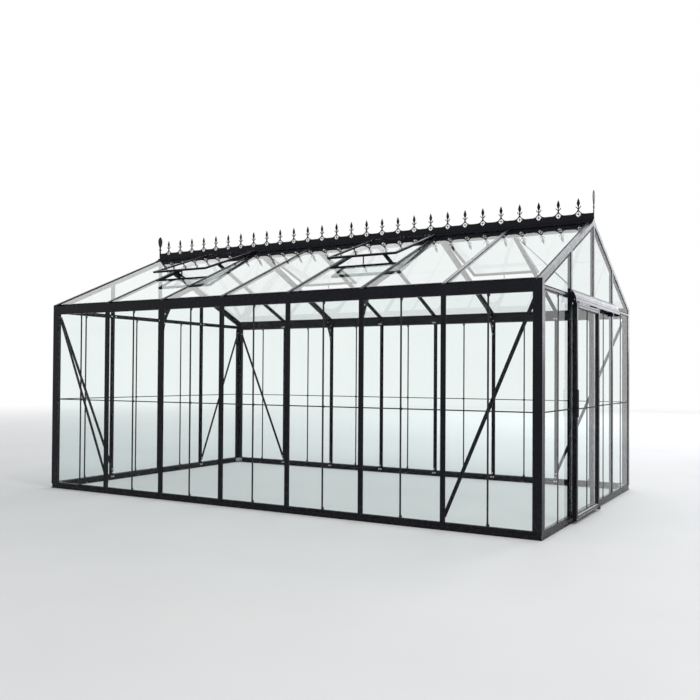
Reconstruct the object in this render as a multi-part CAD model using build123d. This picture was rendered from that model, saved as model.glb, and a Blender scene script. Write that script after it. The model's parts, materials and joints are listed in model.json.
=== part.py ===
from build123d import *
from math import cos, hypot, radians, sin, tan
import os

# Glass greenhouse, gable roofed, seven bays long and four bays wide.
# X runs along the ridge, Y across it, Z up, and the origin is the middle of the footprint on the ground.
# The door gable is at +X and the long wall with two roof vents above it faces -Y.

# Grid and overall form
bay = 720.0
bays_long = 7
bays_wide = 4
corner_offset = 50.0
eave_height = 1855.0
roof_pitch = 24.2

# Glazing
glass_thickness = 3.0
glass_cover = 4.0
glass_bite = 8.0
glass_gap = 1.0
strip_width = 12.0
strip_depth = 9.0
strip_inset = 2.0
joint_height = 905.0
joint_width = 9.0

# Upright members
post_face = 38.0
post_neck = 12.0
post_seat = 4.0
post_web = 10.0
post_depth = 34.0
post_bead = 20.0
post_bead_thickness = 4.0

# Base rail
base_height = 58.0
base_depth = 38.0
base_foot = 60.0
base_foot_thickness = 8.0
base_bead = 14.0
base_recess = 5.0

# Gutter that also carries the roof
gutter_height = 84.0
gutter_wall = 4.0
gutter_back_wall = 8.0
gutter_floor = 34.0
gutter_end_thickness = 4.0

# Gable tie at the eave
tie_drop = 33.0
tie_height = 40.0
tie_depth = 30.0
tie_cap_height = 16.0
tie_bite = 6.0

# Roof bars
bar_rise = 8.0
bar_face = 36.0
bar_neck = 12.0
bar_seat = 30.0
bar_seat_thickness = 4.0
bar_web = 6.0
bar_depth = 34.0
portal_depth = 60.0
bar_bead = 14.0
bar_bead_thickness = 4.0
bar_end = 6.0
roof_glass_end = 30.0
portal_index = (2, 5)

# Verge bars
verge_face = 38.0
verge_web = 60.0
verge_cap = 51.0
verge_leg = 26.0
verge_groove_inset = 9.0
verge_groove_width = 5.0
verge_groove_depth = 2.5

# Ridge
ridge_web = 8.0
ridge_beam_depth = 92.0
ridge_beam_flange = 36.0
ridge_beam_flange_thickness = 6.0
ridge_cap_reach = 62.0
ridge_cap_step = 34.0
ridge_cap_thickness = 4.0
ridge_cap_step_rise = 10.0
ridge_fin_width = 12.0
ridge_fin_height = 12.0

# Ridge cresting and finials
crest_per_bay = 4
crest_height = 185.0
crest_thickness = 5.0
crest_band = 42.0
crest_reach = 60.0
crest_crossing = 84.0
crest_stem = 9.0
crest_leaf_foot = 108.0
crest_leaf_shoulder = 138.0
crest_leaf_width = 30.0
crest_petal_reach = 24.0
crest_petal_rise = 26.0
crest_petal_width = 11.0
crest_diamond = 54.0
crest_diamond_centre = 40.0
crest_boss = 20.0
crest_link = 3.0
finial_height = 240.0
finial_width = 60.0
finial_thickness = 8.0
finial_stem = 16.0
finial_collar_width = 36.0
finial_collar_height = 12.0
finial_leaf_foot = 104.0
finial_leaf_widest = 184.0

# Roof vents
vent_front_index = (1, 4)
vent_back_index = (2, 5)
vent_length = 850.0
vent_rail_width = 30.0
vent_rail_depth = 24.0
vent_angle = 5.0
sash_gap = 4.0
sash_rail = 26.0
sash_height = 20.0
sash_glass = 4.0
vent_stay_width = 16.0
vent_stay_thickness = 4.0

# Braces, knees and stays
brace_width = 30.0
brace_thickness = 4.0
brace_end_drop = 40.0
knee_reach = 256.0
knee_drop = 280.0
knee_thickness = 6.0
stay_diameter = 8.0
stay_rise = 78.0
stay_setback = 60.0
stay_index = 1

# Sliding door in the second bay of the +X gable
door_index = 1
door_overlap = 15.0
door_travel = 710.0
door_gap = 12.0
door_thickness = 34.0
door_bottom = 24.0
door_stile = 46.0
door_rail = 46.0
door_bite = 10.0
door_rebate = 9.0
door_corner = 4.0
door_groove_width = 6.0
door_groove_depth = 2.5
door_head_gap = 5.0
track_overrun = 50.0
track_wall = 3.5
track_rise = 5.0
track_depth = 55.0
track_height = 103.0
track_profile = ((0, 0), (0.25, 0.10), (0.49, 0.24), (0.69, 0.39), (0.84, 0.56), (0.95, 0.76), (1, 1))
track_ledge_drop = 76.0
track_ledge_reach = 24.0
track_ledge_thickness = 6.0
track_lip_width = 4.0
track_lip_height = 6.0
track_groove_at = (4, 5)
track_groove_height = 7.0
track_groove_depth = 2.0
track_end_cover = 8.0
roller_radius = 12.0
roller_width = 10.0
roller_groove = 2.0
roller_groove_width = 6.0
roller_gap = 0.3
roller_inset = 90.0
hanger_thickness = 4.0
hanger_width = 40.0
hanger_rise = 7.0
handle_length = 220.0
handle_width = 16.0
handle_height = 12.0
handle_wall = 3.0
handle_rise = 45.0
guide_length = 30.0
guide_wall = 5.0
guide_gap = 5.0
guide_cover = 20.0

# Derived sizes
length = bays_long * bay + 2 * corner_offset
width = bays_wide * bay + 2 * corner_offset
half_length = length / 2
half_width = width / 2
slope = tan(radians(roof_pitch))
gutter_bottom = eave_height - gutter_height
tie_top = eave_height - tie_drop
tie_bottom = tie_top - tie_height
tie_cap_low = (tie_bottom + tie_top - tie_cap_height) / 2
tie_cap_high = (tie_bottom + tie_top + tie_cap_height) / 2
track_top = eave_height + track_rise
track_front_bottom = track_top - track_height
track_ledge = track_top - track_ledge_drop
door_top = track_front_bottom - door_head_gap
corner_leg = corner_offset + post_face / 2
glass_outer = glass_cover
glass_inner = glass_cover + glass_thickness
seat_bottom = glass_inner + bar_seat_thickness
gutter_depth = corner_offset + post_neck / 2
roof_start = eave_height + bar_rise
apex = roof_start + half_width * slope
long_grid = [(i - bays_long / 2) * bay for i in range(bays_long + 1)]
wide_grid = [(i - bays_wide / 2) * bay for i in range(bays_wide + 1)]


def prism_x(points, x0, x1):
    """A (y, z) outline carried from x0 to x1."""
    plane = Plane(origin=(x0, 0, 0), x_dir=(0, 1, 0), z_dir=(1, 0, 0))
    return extrude(plane * make_face(Polyline(points, close=True)), amount=x1 - x0)


def prism_y(points, y0, y1):
    """An (x, z) outline carried from y0 to y1."""
    plane = Plane(origin=(0, y0, 0), x_dir=(1, 0, 0), z_dir=(0, -1, 0))
    return extrude(plane * make_face(Polyline(points, close=True)), amount=y0 - y1)


def prism_z(points, z0, z1):
    """An (x, y) outline carried from z0 to z1."""
    plane = Plane(origin=(0, 0, z0))
    return extrude(plane * make_face(Polyline(points, close=True)), amount=z1 - z0)


def block(x0, x1, y0, y1, z0, z1):
    return Pos((x0 + x1) / 2, (y0 + y1) / 2, (z0 + z1) / 2) * Box(abs(x1 - x0), abs(y1 - y0), abs(z1 - z0))


def across_ridge(shape):
    return mirror(shape, about=Plane.XZ)


def along_ridge(shape):
    return mirror(shape, about=Plane.YZ)


def write(name, *solids):
    whole = solids[0] if len(solids) == 1 else Compound(children=list(solids))
    whole.label = name
    export_step(whole, f"parts/{name}.step")


# Sections, each drawn from the outer face inwards: first along the wall, then into it

def bar_section(face, neck, seat, seat_thickness, web, depth, bead, bead_thickness):
    """Outer cover, groove for the glass, seat, web and inner bead of a glazing bar."""
    seat_end = glass_inner + seat_thickness
    half = [
        (face / 2, 0), (face / 2, glass_outer), (neck / 2, glass_outer), (neck / 2, glass_inner),
        (seat / 2, glass_inner), (seat / 2, seat_end), (web / 2, seat_end), (web / 2, depth - bead_thickness),
        (bead / 2, depth - bead_thickness), (bead / 2, depth),
    ]
    return half + [(-u, w) for u, w in reversed(half)]


def post_outline():
    return bar_section(post_face, post_neck, post_face, post_seat, post_web, post_depth,
                       post_bead, post_bead_thickness)


def corner_outline():
    leg = corner_leg
    groove = corner_offset + post_neck / 2
    side = [(leg, 0), (leg, glass_outer), (groove, glass_outer), (groove, glass_inner), (leg, glass_inner),
            (leg, post_depth), (post_depth, post_depth)]
    other = [(b, a) for a, b in reversed(side[:-1])]
    return [(0, 0)] + side + other


def base_outline():
    """Base rail seen along its length: depth into the wall, then height."""
    groove = base_height - glass_bite
    return [(0, 0), (base_foot, 0), (base_foot, base_foot_thickness), (base_depth, base_foot_thickness),
            (base_depth, base_height), (glass_inner, base_height), (glass_inner, groove),
            (glass_outer, groove), (glass_outer, base_height), (0, base_height),
            (0, base_height - base_bead), (base_recess, base_height - base_bead - base_recess),
            (base_recess, base_foot_thickness), (0, base_foot_thickness)]


def roof_depth(offset, below):
    """Height of a plane that lies below the top of the roof bars, at a distance in from the eave face."""
    return roof_start + offset * slope - below / cos(radians(roof_pitch))


def gutter_outline():
    z0 = gutter_bottom
    floor = z0 + gutter_floor
    back = gutter_depth - gutter_back_wall
    return [(0, z0), (glass_outer, z0), (glass_outer, z0 + glass_bite), (glass_inner, z0 + glass_bite),
            (glass_inner, z0), (gutter_depth, z0), (gutter_depth, roof_depth(gutter_depth, seat_bottom)),
            (back, roof_depth(back, seat_bottom)), (back, floor), (gutter_wall, floor),
            (gutter_wall, eave_height), (0, eave_height)]


def tie_outline():
    z0, z1 = tie_cap_low, tie_cap_high
    return [(0, z0), (glass_outer, z0), (glass_outer, z0 + tie_bite), (glass_inner, z0 + tie_bite),
            (glass_inner, tie_bottom), (tie_depth, tie_bottom), (tie_depth, tie_top), (glass_inner, tie_top),
            (glass_inner, z1 - tie_bite), (glass_outer, z1 - tie_bite), (glass_outer, z1), (0, z1)]


def verge_outline():
    cap_groove = verge_cap - glass_bite
    leg_groove = verge_face - glass_bite
    line = verge_cap - verge_groove_inset
    half = verge_groove_width / 2
    return [(0, 0), (line - half, 0), (line - half, verge_groove_depth), (line + half, verge_groove_depth),
            (line + half, 0), (verge_cap, 0), (verge_cap, glass_outer), (cap_groove, glass_outer),
            (cap_groove, glass_inner), (verge_cap, glass_inner), (verge_cap, seat_bottom),
            (verge_leg, seat_bottom), (verge_leg, verge_web), (glass_inner, verge_web),
            (glass_inner, leg_groove), (glass_outer, leg_groove), (glass_outer, verge_face), (0, verge_face)]


# Placing along walls and slopes

def front_y(points):
    """Depth into the front wall becomes a Y coordinate."""
    return [(-half_width + w, z) for w, z in points]


def slope_member(points, x, y0, y1, side=1):
    """An outline of (along the ridge, depth below the roof plane) run up the front slope, cut plumb."""
    a = radians(roof_pitch)
    reach = half_width / cos(a) + gutter_depth
    plane = Plane(origin=(x, -half_width, roof_start), x_dir=(1, 0, 0), z_dir=(0, cos(a), sin(a)))
    face = plane * make_face(Polyline([(side * u, d) for u, d in points], close=True))
    bar = extrude(face, amount=reach) + extrude(face, amount=-gutter_depth)
    return bar & block(-length, length, y0, y1, 0, 2 * apex)


# Base rails, mitred at the corners

def mitre(shape, x, y, into_x, into_y):
    """Cuts a rail that runs along X on the diagonal through the corner at x, y."""
    reach = 2 * base_foot
    corner = [(x, y), (x + into_x * reach, y + into_y * reach), (x, y + into_y * reach)]
    return shape - prism_z(corner, -base_height, 2 * base_height)


rail_front = prism_x(front_y(base_outline()), -half_length, half_length)
for sx in (-1, 1):
    rail_front = mitre(rail_front, sx * half_length, -half_width, -sx, 1)
rail_left = prism_y([(-half_length + w, z) for w, z in base_outline()], -half_width, half_width)
for sy in (-1, 1):
    reach = 2 * base_foot
    y = sy * half_width
    wedge = [(-half_length, y), (-half_length + reach, y - sy * reach), (-half_length + reach, y)]
    rail_left = rail_left - prism_z(wedge, -base_height, 2 * base_height)

# Posts

def front_post(x):
    return prism_z([(x + u, -half_width + w) for u, w in post_outline()], base_height, gutter_bottom)


def verge_underside(y, below=verge_face):
    return roof_depth(half_width - abs(y), below)


def above_verge(below, depth0, depth1):
    """All that lies above a line under the verge bars, between two depths into the left gable."""
    under = [(-half_width, verge_underside(half_width, below)), (0, verge_underside(0, below)),
             (half_width, verge_underside(half_width, below)), (half_width, 2 * apex), (-half_width, 2 * apex)]
    return prism_x(under, -half_length + depth0, -half_length + depth1)


def left_post(y):
    """Gable post, its head cut to the verge's outer face in front and to its web behind."""
    section = [(-half_length + w, y + u) for u, w in post_outline()]
    post = prism_z(section, base_height, apex)
    outer = above_verge(verge_face, -post_depth, glass_inner)
    inner = above_verge(verge_web, glass_inner, 2 * post_depth)
    return post - outer - inner


corner_front_left = prism_z([(-half_length + a, -half_width + b) for a, b in corner_outline()],
                            base_height, gutter_bottom)
posts_front = [front_post(x) for x in long_grid[1:-1]]
posts_left = [left_post(y) for y in wide_grid[1:-1]]

# Gutters with their end plates

gutter_front = prism_x(front_y(gutter_outline()), -half_length + gutter_end_thickness,
                       half_length - gutter_end_thickness)
end_outline = [(0, gutter_bottom), (gutter_depth, gutter_bottom),
               (gutter_depth, roof_depth(gutter_depth, verge_face)),
               (0, roof_depth(0, verge_face))]


def gutter_end(sx):
    x0 = sx * half_length
    x1 = x0 - sx * gutter_end_thickness
    return prism_x(front_y(end_outline), min(x0, x1), max(x0, x1))


# Verge bars, cut away over the gutter body

def verge_bar():
    bar = slope_member(verge_outline(), -half_length, -half_width, 0)
    x0 = -half_length + gutter_end_thickness
    x1 = -half_length + 2 * verge_cap
    body = prism_x(front_y([(0, gutter_bottom), (gutter_depth, gutter_bottom),
                            (gutter_depth, roof_depth(gutter_depth, seat_bottom)),
                            (0, roof_depth(0, seat_bottom))]), x0, x1)
    lip = block(x0, x1, -half_width, -half_width + bar_end, gutter_bottom, apex)
    end = prism_x(front_y(end_outline), -half_length, x0)
    return bar - body - lip - end


verge_front_left = verge_bar()

# Gable ties between the posts

def tie_pieces():
    ends = [-half_width + gutter_depth] + [y for y in wide_grid[1:-1]] + [half_width - gutter_depth]
    pieces = []
    for i in range(len(ends) - 1):
        y0 = ends[i] + (post_face / 2 if i else 0)
        y1 = ends[i + 1] - (post_face / 2 if i < len(ends) - 2 else 0)
        pieces.append(prism_y([(-half_length + w, z) for w, z in tie_outline()], y0, y1))
    return pieces


ties_left = tie_pieces()

# Roof bars

def roof_bar(i):
    depth = portal_depth if i in portal_index else bar_depth
    section = bar_section(bar_face, bar_neck, bar_seat, bar_seat_thickness, bar_web, depth,
                          bar_bead, bar_bead_thickness)
    bar = slope_member(section, long_grid[i], -half_width + bar_end, -ridge_web / 2)
    notch = prism_x(front_y([(0, gutter_bottom), (gutter_depth, gutter_bottom),
                             (gutter_depth, roof_depth(gutter_depth, seat_bottom)),
                             (0, roof_depth(0, seat_bottom))]),
                    long_grid[i] - bar_face, long_grid[i] + bar_face)
    return bar - notch


bars_front = [roof_bar(i) for i in range(1, bays_long)]

# Ridge beam under the glass and cap over it

beam_top = apex
beam_bottom = beam_top - ridge_beam_depth
flange_top = beam_bottom + ridge_beam_flange_thickness
beam_end = half_length - post_depth
ridge_beam = prism_x([(-ridge_beam_flange / 2, beam_bottom), (ridge_beam_flange / 2, beam_bottom),
                      (ridge_beam_flange / 2, flange_top), (ridge_web / 2, flange_top),
                      (ridge_web / 2, beam_top - ridge_web / 2 * slope),
                      (0, beam_top),
                      (-ridge_web / 2, beam_top - ridge_web / 2 * slope),
                      (-ridge_web / 2, flange_top), (-ridge_beam_flange / 2, flange_top)],
                     -beam_end, beam_end)
for s in (-1, 1):
    notch_end = s * (half_length - verge_cap)
    ridge_beam = ridge_beam - block(s * half_length, notch_end, -ridge_web, ridge_web,
                                    roof_depth(half_width - ridge_web / 2, seat_bottom), 2 * apex)


def cap_height(y, above):
    return apex - abs(y) * slope + above


def cap_outline():
    t = ridge_cap_thickness / cos(radians(roof_pitch))
    rise = ridge_cap_step_rise
    fin_top = apex + t + rise + ridge_fin_height
    half = [
        (ridge_cap_reach, cap_height(ridge_cap_reach, 0)),
        (ridge_cap_reach, cap_height(ridge_cap_reach, t)),
        (ridge_cap_step, cap_height(ridge_cap_step, t)),
        (ridge_cap_step, cap_height(ridge_cap_step, t + rise)),
        (ridge_fin_width / 2, cap_height(ridge_fin_width / 2, t + rise)),
        (ridge_fin_width / 2, fin_top),
    ]
    return [(0, apex)] + half + [(-y, z) for y, z in reversed(half)]


fin_top = apex + ridge_cap_thickness / cos(radians(roof_pitch)) + ridge_cap_step_rise + ridge_fin_height
ridge_cap = prism_x(cap_outline(), -half_length, half_length)

# Ridge cresting, a pierced plate standing on the fin of the ridge cap

def ridge_face(points):
    return make_face(Polyline(points, close=True))


def diamond(x, z, across):
    half = across / 2
    return ridge_face([(x - half, z), (x, z - half), (x + half, z), (x, z + half)])


def spear_head(x, foot, shoulder, tip, head_width):
    """Flat spear head on a stem, widest at the shoulder."""
    side = crest_stem / 2
    half = head_width / 2
    brow = (shoulder + tip) / 2
    points = [(side, foot), (half * 0.7, (foot + shoulder) / 2), (half, shoulder), (half * 0.62, brow)]
    return ridge_face([(x + u, z) for u, z in points] + [(x, tip)] + [(x - u, z) for u, z in reversed(points)])


def crest_unit(x):
    """Tented foot with crossing petals, a stem and a spear head."""
    band = fin_top + crest_band
    crossing = fin_top + crest_crossing
    side = crest_stem / 2
    head = fin_top + crest_leaf_foot
    tent = make_face([TangentArc((x - crest_reach, band), (x - side, crossing), tangent=(1, 0)),
                      Line((x - side, crossing), (x + side, crossing)),
                      TangentArc((x + crest_reach, band), (x + side, crossing), tangent=(-1, 0)),
                      Polyline((x + crest_reach, band), (x + crest_reach, fin_top), (x - crest_reach, fin_top),
                               (x - crest_reach, band))])
    unit = tent + ridge_face([(x - side, band), (x + side, band), (x + side, head), (x - side, head)])
    unit = unit + spear_head(x, head, fin_top + crest_leaf_shoulder, fin_top + crest_height, crest_leaf_width)
    half = crest_petal_width / 2
    for s in (-1, 1):
        tip_x = x + s * crest_petal_reach
        tip_z = crossing + crest_petal_rise
        unit = unit + ridge_face([(x, crossing - side), (tip_x, tip_z - half), (tip_x, tip_z + half),
                                  (x, crossing + side)])
    return unit


def crest_opening(x):
    """Diamond with a small boss in it, held by four thin links."""
    z = fin_top + crest_diamond_centre
    half = crest_diamond / 2
    link = crest_link / 2
    boss = diamond(x, z, crest_boss)
    boss = boss + ridge_face([(x - half, z - link), (x + half, z - link), (x + half, z + link),
                              (x - half, z + link)])
    boss = boss + ridge_face([(x - link, z - half), (x + link, z - half), (x + link, z + half),
                              (x - link, z + half)])
    return diamond(x, z, crest_diamond) - boss


crest_end = half_length - finial_thickness
crest_x = [long_grid[0] + (k + 0.5) * bay / crest_per_bay for k in range(bays_long * crest_per_bay)]
crest_sketch = ridge_face([(-crest_end, fin_top), (crest_end, fin_top), (crest_end, fin_top + crest_band),
                           (-crest_end, fin_top + crest_band)])
crest_sketch = crest_sketch + [crest_unit(x) for x in crest_x]
crest_sketch = crest_sketch - [crest_opening(x) for x in crest_x]
crest_plane = Plane(origin=(0, crest_thickness / 2, 0), x_dir=(1, 0, 0), z_dir=(0, -1, 0))
cresting = extrude(crest_plane * crest_sketch, amount=crest_thickness)

# Gable finials, flat spears in the plane of each gable

def finial(sx):
    side = finial_stem / 2
    widest = fin_top + finial_leaf_widest
    foot = fin_top + finial_leaf_foot
    tip = fin_top + finial_height
    head = make_face([TangentArc((finial_width / 2, widest), (0, tip), tangent=(0, 1)),
                      TangentArc((-finial_width / 2, widest), (0, tip), tangent=(0, 1)),
                      TangentArc((-finial_width / 2, widest), (0, foot), tangent=(0, -1)),
                      TangentArc((finial_width / 2, widest), (0, foot), tangent=(0, -1))])
    stem = ridge_face([(-side, fin_top), (side, fin_top), (side, foot + finial_stem), (-side, foot + finial_stem)])
    collar = ridge_face([(-finial_collar_width / 2, foot - 2 * finial_collar_height),
                         (finial_collar_width / 2, foot - 2 * finial_collar_height),
                         (finial_stem, foot - finial_collar_height), (-finial_stem, foot - finial_collar_height)])
    x0 = -half_length if sx < 0 else half_length - finial_thickness
    plane = Plane(origin=(x0, 0, 0), x_dir=(0, 1, 0), z_dir=(1, 0, 0))
    return extrude(plane * (head + stem + collar), amount=finial_thickness)


# Glass

def wall_panes(a0, a1, z_low, z_high):
    """Four panes of one bay as (a0, a1, z0, z1), parted by the mid bar and the pane joint."""
    start = a0 + post_neck / 2 + glass_gap
    end = a1 - post_neck / 2 - glass_gap
    mid = (a0 + a1) / 2
    cells = []
    for p0, p1 in ((start, mid - strip_width / 2), (mid + strip_width / 2, end)):
        cells.append((p0, p1, z_low, joint_height - joint_width / 2))
        cells.append((p0, p1, joint_height + joint_width / 2, z_high))
    return cells


def bay_strips(a0, a1, z_low, z_high):
    """Mid bar and the two halves of the pane joint of one bay, as (a0, a1, z0, z1)."""
    mid = (a0 + a1) / 2
    half = strip_width / 2
    z0 = joint_height - joint_width / 2
    z1 = joint_height + joint_width / 2
    return [(mid - half, mid + half, z_low, z_high), (a0 + post_face / 2, mid - half, z0, z1),
            (mid + half, a1 - post_face / 2, z0, z1)]


def on_front(cell, w0, w1):
    return block(cell[0], cell[1], -half_width + w0, -half_width + w1, cell[2], cell[3])


def on_left(cell, w0, w1):
    return block(-half_length + w0, -half_length + w1, cell[0], cell[1], cell[2], cell[3])


pane_low = base_height - glass_bite + glass_gap
pane_high = gutter_bottom + glass_bite - glass_gap
gable_pane_high = tie_cap_low + tie_bite - glass_gap
glass_front = []
strips_front = []
for i in range(bays_long):
    for cell in wall_panes(long_grid[i], long_grid[i + 1], pane_low, pane_high):
        glass_front.append(on_front(cell, glass_outer, glass_inner))
    for cell in bay_strips(long_grid[i], long_grid[i + 1], base_height, gutter_bottom):
        strips_front.append(on_front(cell, strip_inset, strip_inset + strip_depth))


def gable_glass(skip=()):
    panes = []
    for i in range(bays_wide):
        if i in skip:
            continue
        for cell in wall_panes(wide_grid[i], wide_grid[i + 1], pane_low, gable_pane_high):
            panes.append(on_left(cell, glass_outer, glass_inner))
    return panes


def gable_strips(skip=()):
    """Strips of a gable; the mid bars' outer parts go on up to the cap of the tie."""
    strips = []
    for i in range(bays_wide):
        if i in skip:
            continue
        mid_bar, *joints = bay_strips(wide_grid[i], wide_grid[i + 1], base_height, tie_bottom)
        head = (mid_bar[0], mid_bar[1], tie_bottom, tie_cap_low)
        strips.append(on_left(mid_bar, strip_inset, strip_inset + strip_depth)
                      + on_left(head, strip_inset, glass_inner))
        for cell in joints:
            strips.append(on_left(cell, strip_inset, strip_inset + strip_depth))
    return strips


def gable_head_glass():
    """Panes above the tie, their upper edges cut to the slope of the verge."""
    panes = []
    low = tie_cap_high - tie_bite + glass_gap
    rise = glass_bite / cos(radians(roof_pitch)) - glass_gap
    for i in range(bays_wide):
        y0 = wide_grid[i] + post_neck / 2 + glass_gap
        y1 = wide_grid[i + 1] - post_neck / 2 - glass_gap
        if i == 0:
            y0 = -half_width + gutter_depth + glass_gap
        if i == bays_wide - 1:
            y1 = half_width - gutter_depth - glass_gap
        outline = [(y0, low), (y1, low), (y1, verge_underside(y1) + rise), (y0, verge_underside(y0) + rise)]
        panes.append(prism_x(outline, -half_length + glass_outer, -half_length + glass_inner))
    return panes


def roof_pane(i, y0, y1):
    u0 = long_grid[i] + bar_neck / 2 + glass_gap
    u1 = long_grid[i + 1] - bar_neck / 2 - glass_gap
    if i == 0:
        u0 = -half_length + verge_cap - glass_bite + glass_gap
    if i == bays_long - 1:
        u1 = half_length - verge_cap + glass_bite - glass_gap
    return slope_member([(u0, glass_outer), (u1, glass_outer), (u1, glass_inner), (u0, glass_inner)],
                        0, y0, y1)


ridge_glass_end = -ridge_web / 2 - glass_gap
vent_low = -(vent_length - vent_rail_width)


def roof_glass(vents):
    panes = []
    for i in range(bays_long):
        top = -vent_length if i in vents else ridge_glass_end
        panes.append(roof_pane(i, -half_width + roof_glass_end, top))
    return panes


# Roof vents, propped a little open: a rail across the bay, a sash hinged at the ridge cap and a stay

def vent_rail(i):
    u0 = long_grid[i] + bar_seat / 2
    u1 = long_grid[i + 1] - bar_seat / 2
    return slope_member([(u0, glass_outer), (u1, glass_outer), (u1, vent_rail_depth), (u0, vent_rail_depth)],
                        0, -vent_length, vent_low)


hinge_y = -ridge_cap_reach - sash_gap
hinge_z = cap_height(hinge_y, 0)
sash_length = (vent_length + hinge_y) / cos(radians(roof_pitch))


def sash_place(i):
    """Plane on the sash: X along the hinge, Y down the slope, Z out of the roof."""
    a = radians(roof_pitch - vent_angle)
    return Plane(origin=((long_grid[i] + long_grid[i + 1]) / 2, hinge_y, hinge_z),
                 x_dir=(-1, 0, 0), z_dir=(0, -sin(a), cos(a)))


def vent_sash(i):
    w = bay - 2 * sash_gap
    outer = Pos(0, sash_length / 2, sash_height / 2) * Box(w, sash_length, sash_height)
    inner = Pos(0, sash_length / 2, sash_height / 2) * Box(w - 2 * sash_rail, sash_length - 2 * sash_rail,
                                                           2 * sash_height)
    hinge = block(long_grid[i] + sash_gap, long_grid[i + 1] - sash_gap, -ridge_cap_reach,
                  hinge_y - sash_gap, cap_height(ridge_cap_reach, 0),
                  cap_height(ridge_cap_reach, ridge_cap_thickness))
    return sash_place(i) * (outer - inner) + hinge


def vent_stay(i):
    """Flat bar between the rail across the bay and the underside of the sash's lower rail."""
    x = (long_grid[i] + long_grid[i + 1]) / 2
    fall = tan(radians(roof_pitch - vent_angle))
    y0 = (vent_low - vent_length - vent_stay_width) / 2
    y1 = y0 + vent_stay_width
    foot0 = roof_depth(half_width + y0, glass_outer)
    foot1 = roof_depth(half_width + y1, glass_outer)
    head0 = hinge_z + (y0 - hinge_y) * fall
    head1 = hinge_z + (y1 - hinge_y) * fall
    return prism_x([(y0, foot0), (y1, foot1), (y1, head1), (y0, head0)],
                   x - vent_stay_thickness / 2, x + vent_stay_thickness / 2)


def vent_pane(i):
    w = bay - 2 * sash_gap - 2 * sash_rail
    pane = Pos(0, sash_length / 2, sash_height / 2) * Box(w, sash_length - 2 * sash_rail, sash_glass)
    return sash_place(i) * pane


# Knees between the portal posts and their rafters: plates with a hollow curve

def knee(i):
    x = long_grid[i]
    y_post = -half_width + post_depth
    y_gutter = -half_width + gutter_depth
    y_tip = y_post + knee_reach
    z_foot = gutter_bottom - knee_drop
    z_tip = roof_depth(half_width + y_tip, portal_depth)
    z_back = roof_depth(gutter_depth, portal_depth)
    edge = Polyline((y_tip, z_tip), (y_gutter, z_back), (y_gutter, gutter_bottom), (y_post, gutter_bottom),
                    (y_post, z_foot))
    hollow = TangentArc((y_post, z_foot), (y_tip, z_tip), tangent=(0, 1))
    face = make_face([edge, hollow])
    plane = Plane(origin=(x - knee_thickness / 2, 0, 0), x_dir=(0, 1, 0), z_dir=(1, 0, 0))
    return extrude(plane * face, amount=knee_thickness)


# Flat bar braces inside the corner bays, from the head of the corner to the foot of the next post

def wall_brace(a_top, a_foot, top):
    """Flat bar brace drawn as (along the wall, height)."""
    z_top = top - brace_end_drop
    z_foot = base_height + brace_end_drop
    run = Vector(a_foot - a_top, z_foot - z_top, 0)
    middle = Vector((a_top + a_foot) / 2, (z_top + z_foot) / 2, 0)
    angle = Vector(1, 0, 0).get_signed_angle(run)
    return Pos(middle.X, middle.Y) * Rot(0, 0, angle) * Rectangle(run.length, brace_width)


def front_brace(a_top, a_foot):
    plane = Plane(origin=(0, -half_width + post_depth + brace_thickness, 0), x_dir=(1, 0, 0), z_dir=(0, -1, 0))
    return extrude(plane * wall_brace(a_top, a_foot, gutter_bottom), amount=brace_thickness)


def left_brace(a_top, a_foot):
    plane = Plane(origin=(-half_length + post_depth, 0, 0), x_dir=(0, 1, 0), z_dir=(1, 0, 0))
    return extrude(plane * wall_brace(a_top, a_foot, tie_bottom), amount=brace_thickness)


braces_front = []
for s in (-1, 1):
    corner = s * (half_length - post_depth - brace_width)
    braces_front.append(front_brace(corner, s * long_grid[-2]))
braces_left = []
for s in (-1, 1):
    corner = s * (half_width - post_depth - brace_width)
    braces_left.append(left_brace(corner, s * wide_grid[-2]))

# Round stay from the underside of the ridge beam to a post of the door gable, under the front slope

stay_foot = Vector(half_length - post_depth, wide_grid[stay_index], tie_top + stay_rise)
stay_head = Vector(long_grid[-2] + stay_setback, 0, beam_bottom)
stay_run = (stay_head - stay_foot).normalized()
stay_plane = Plane(origin=stay_foot - stay_run * post_depth, z_dir=stay_run)
stay = extrude(stay_plane * Circle(stay_diameter / 2), amount=(stay_head - stay_foot).length + 2 * post_depth)
stay = stay - block(half_length - post_depth, length, -half_width, half_width, 0, 2 * apex)
stay = stay - block(-length, length, -half_width, half_width, beam_bottom, 2 * apex)

# Door track: a hooded profile on the outside of the +X gable, over the doorway and the bay beside it

door_y0 = wide_grid[door_index] - door_overlap
door_y1 = wide_grid[door_index + 1] + door_overlap
track_y0 = door_y0 - track_overrun
track_y1 = door_y1 + door_travel + track_overrun
roller_x = half_length + track_ledge_reach - track_lip_width / 2
lip_top = track_ledge + track_ledge_thickness + track_lip_height


def hood_line(sunk):
    """Points down the curve of the hood from the wall, moved under it by a distance."""
    points = [(track_depth * a, track_top - track_height * b) for a, b in track_profile]
    normals = []
    for (x0, z0), (x1, z1) in zip(points, points[1:]):
        run = hypot(x1 - x0, z1 - z0)
        normals.append(((z1 - z0) / run, (x0 - x1) / run))
    line = []
    for (x, z), before, after in zip(points, normals[:1] + normals, normals + normals[-1:]):
        nx, nz = before[0] + after[0], before[1] + after[1]
        share = 2 * sunk / (nx * nx + nz * nz)
        line.append((x + nx * share, z + nz * share))
    return line


def towards(start, end, distance):
    share = distance / hypot(end[0] - start[0], end[1] - start[1])
    return (start[0] + (end[0] - start[0]) * share, start[1] + (end[1] - start[1]) * share)


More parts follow.
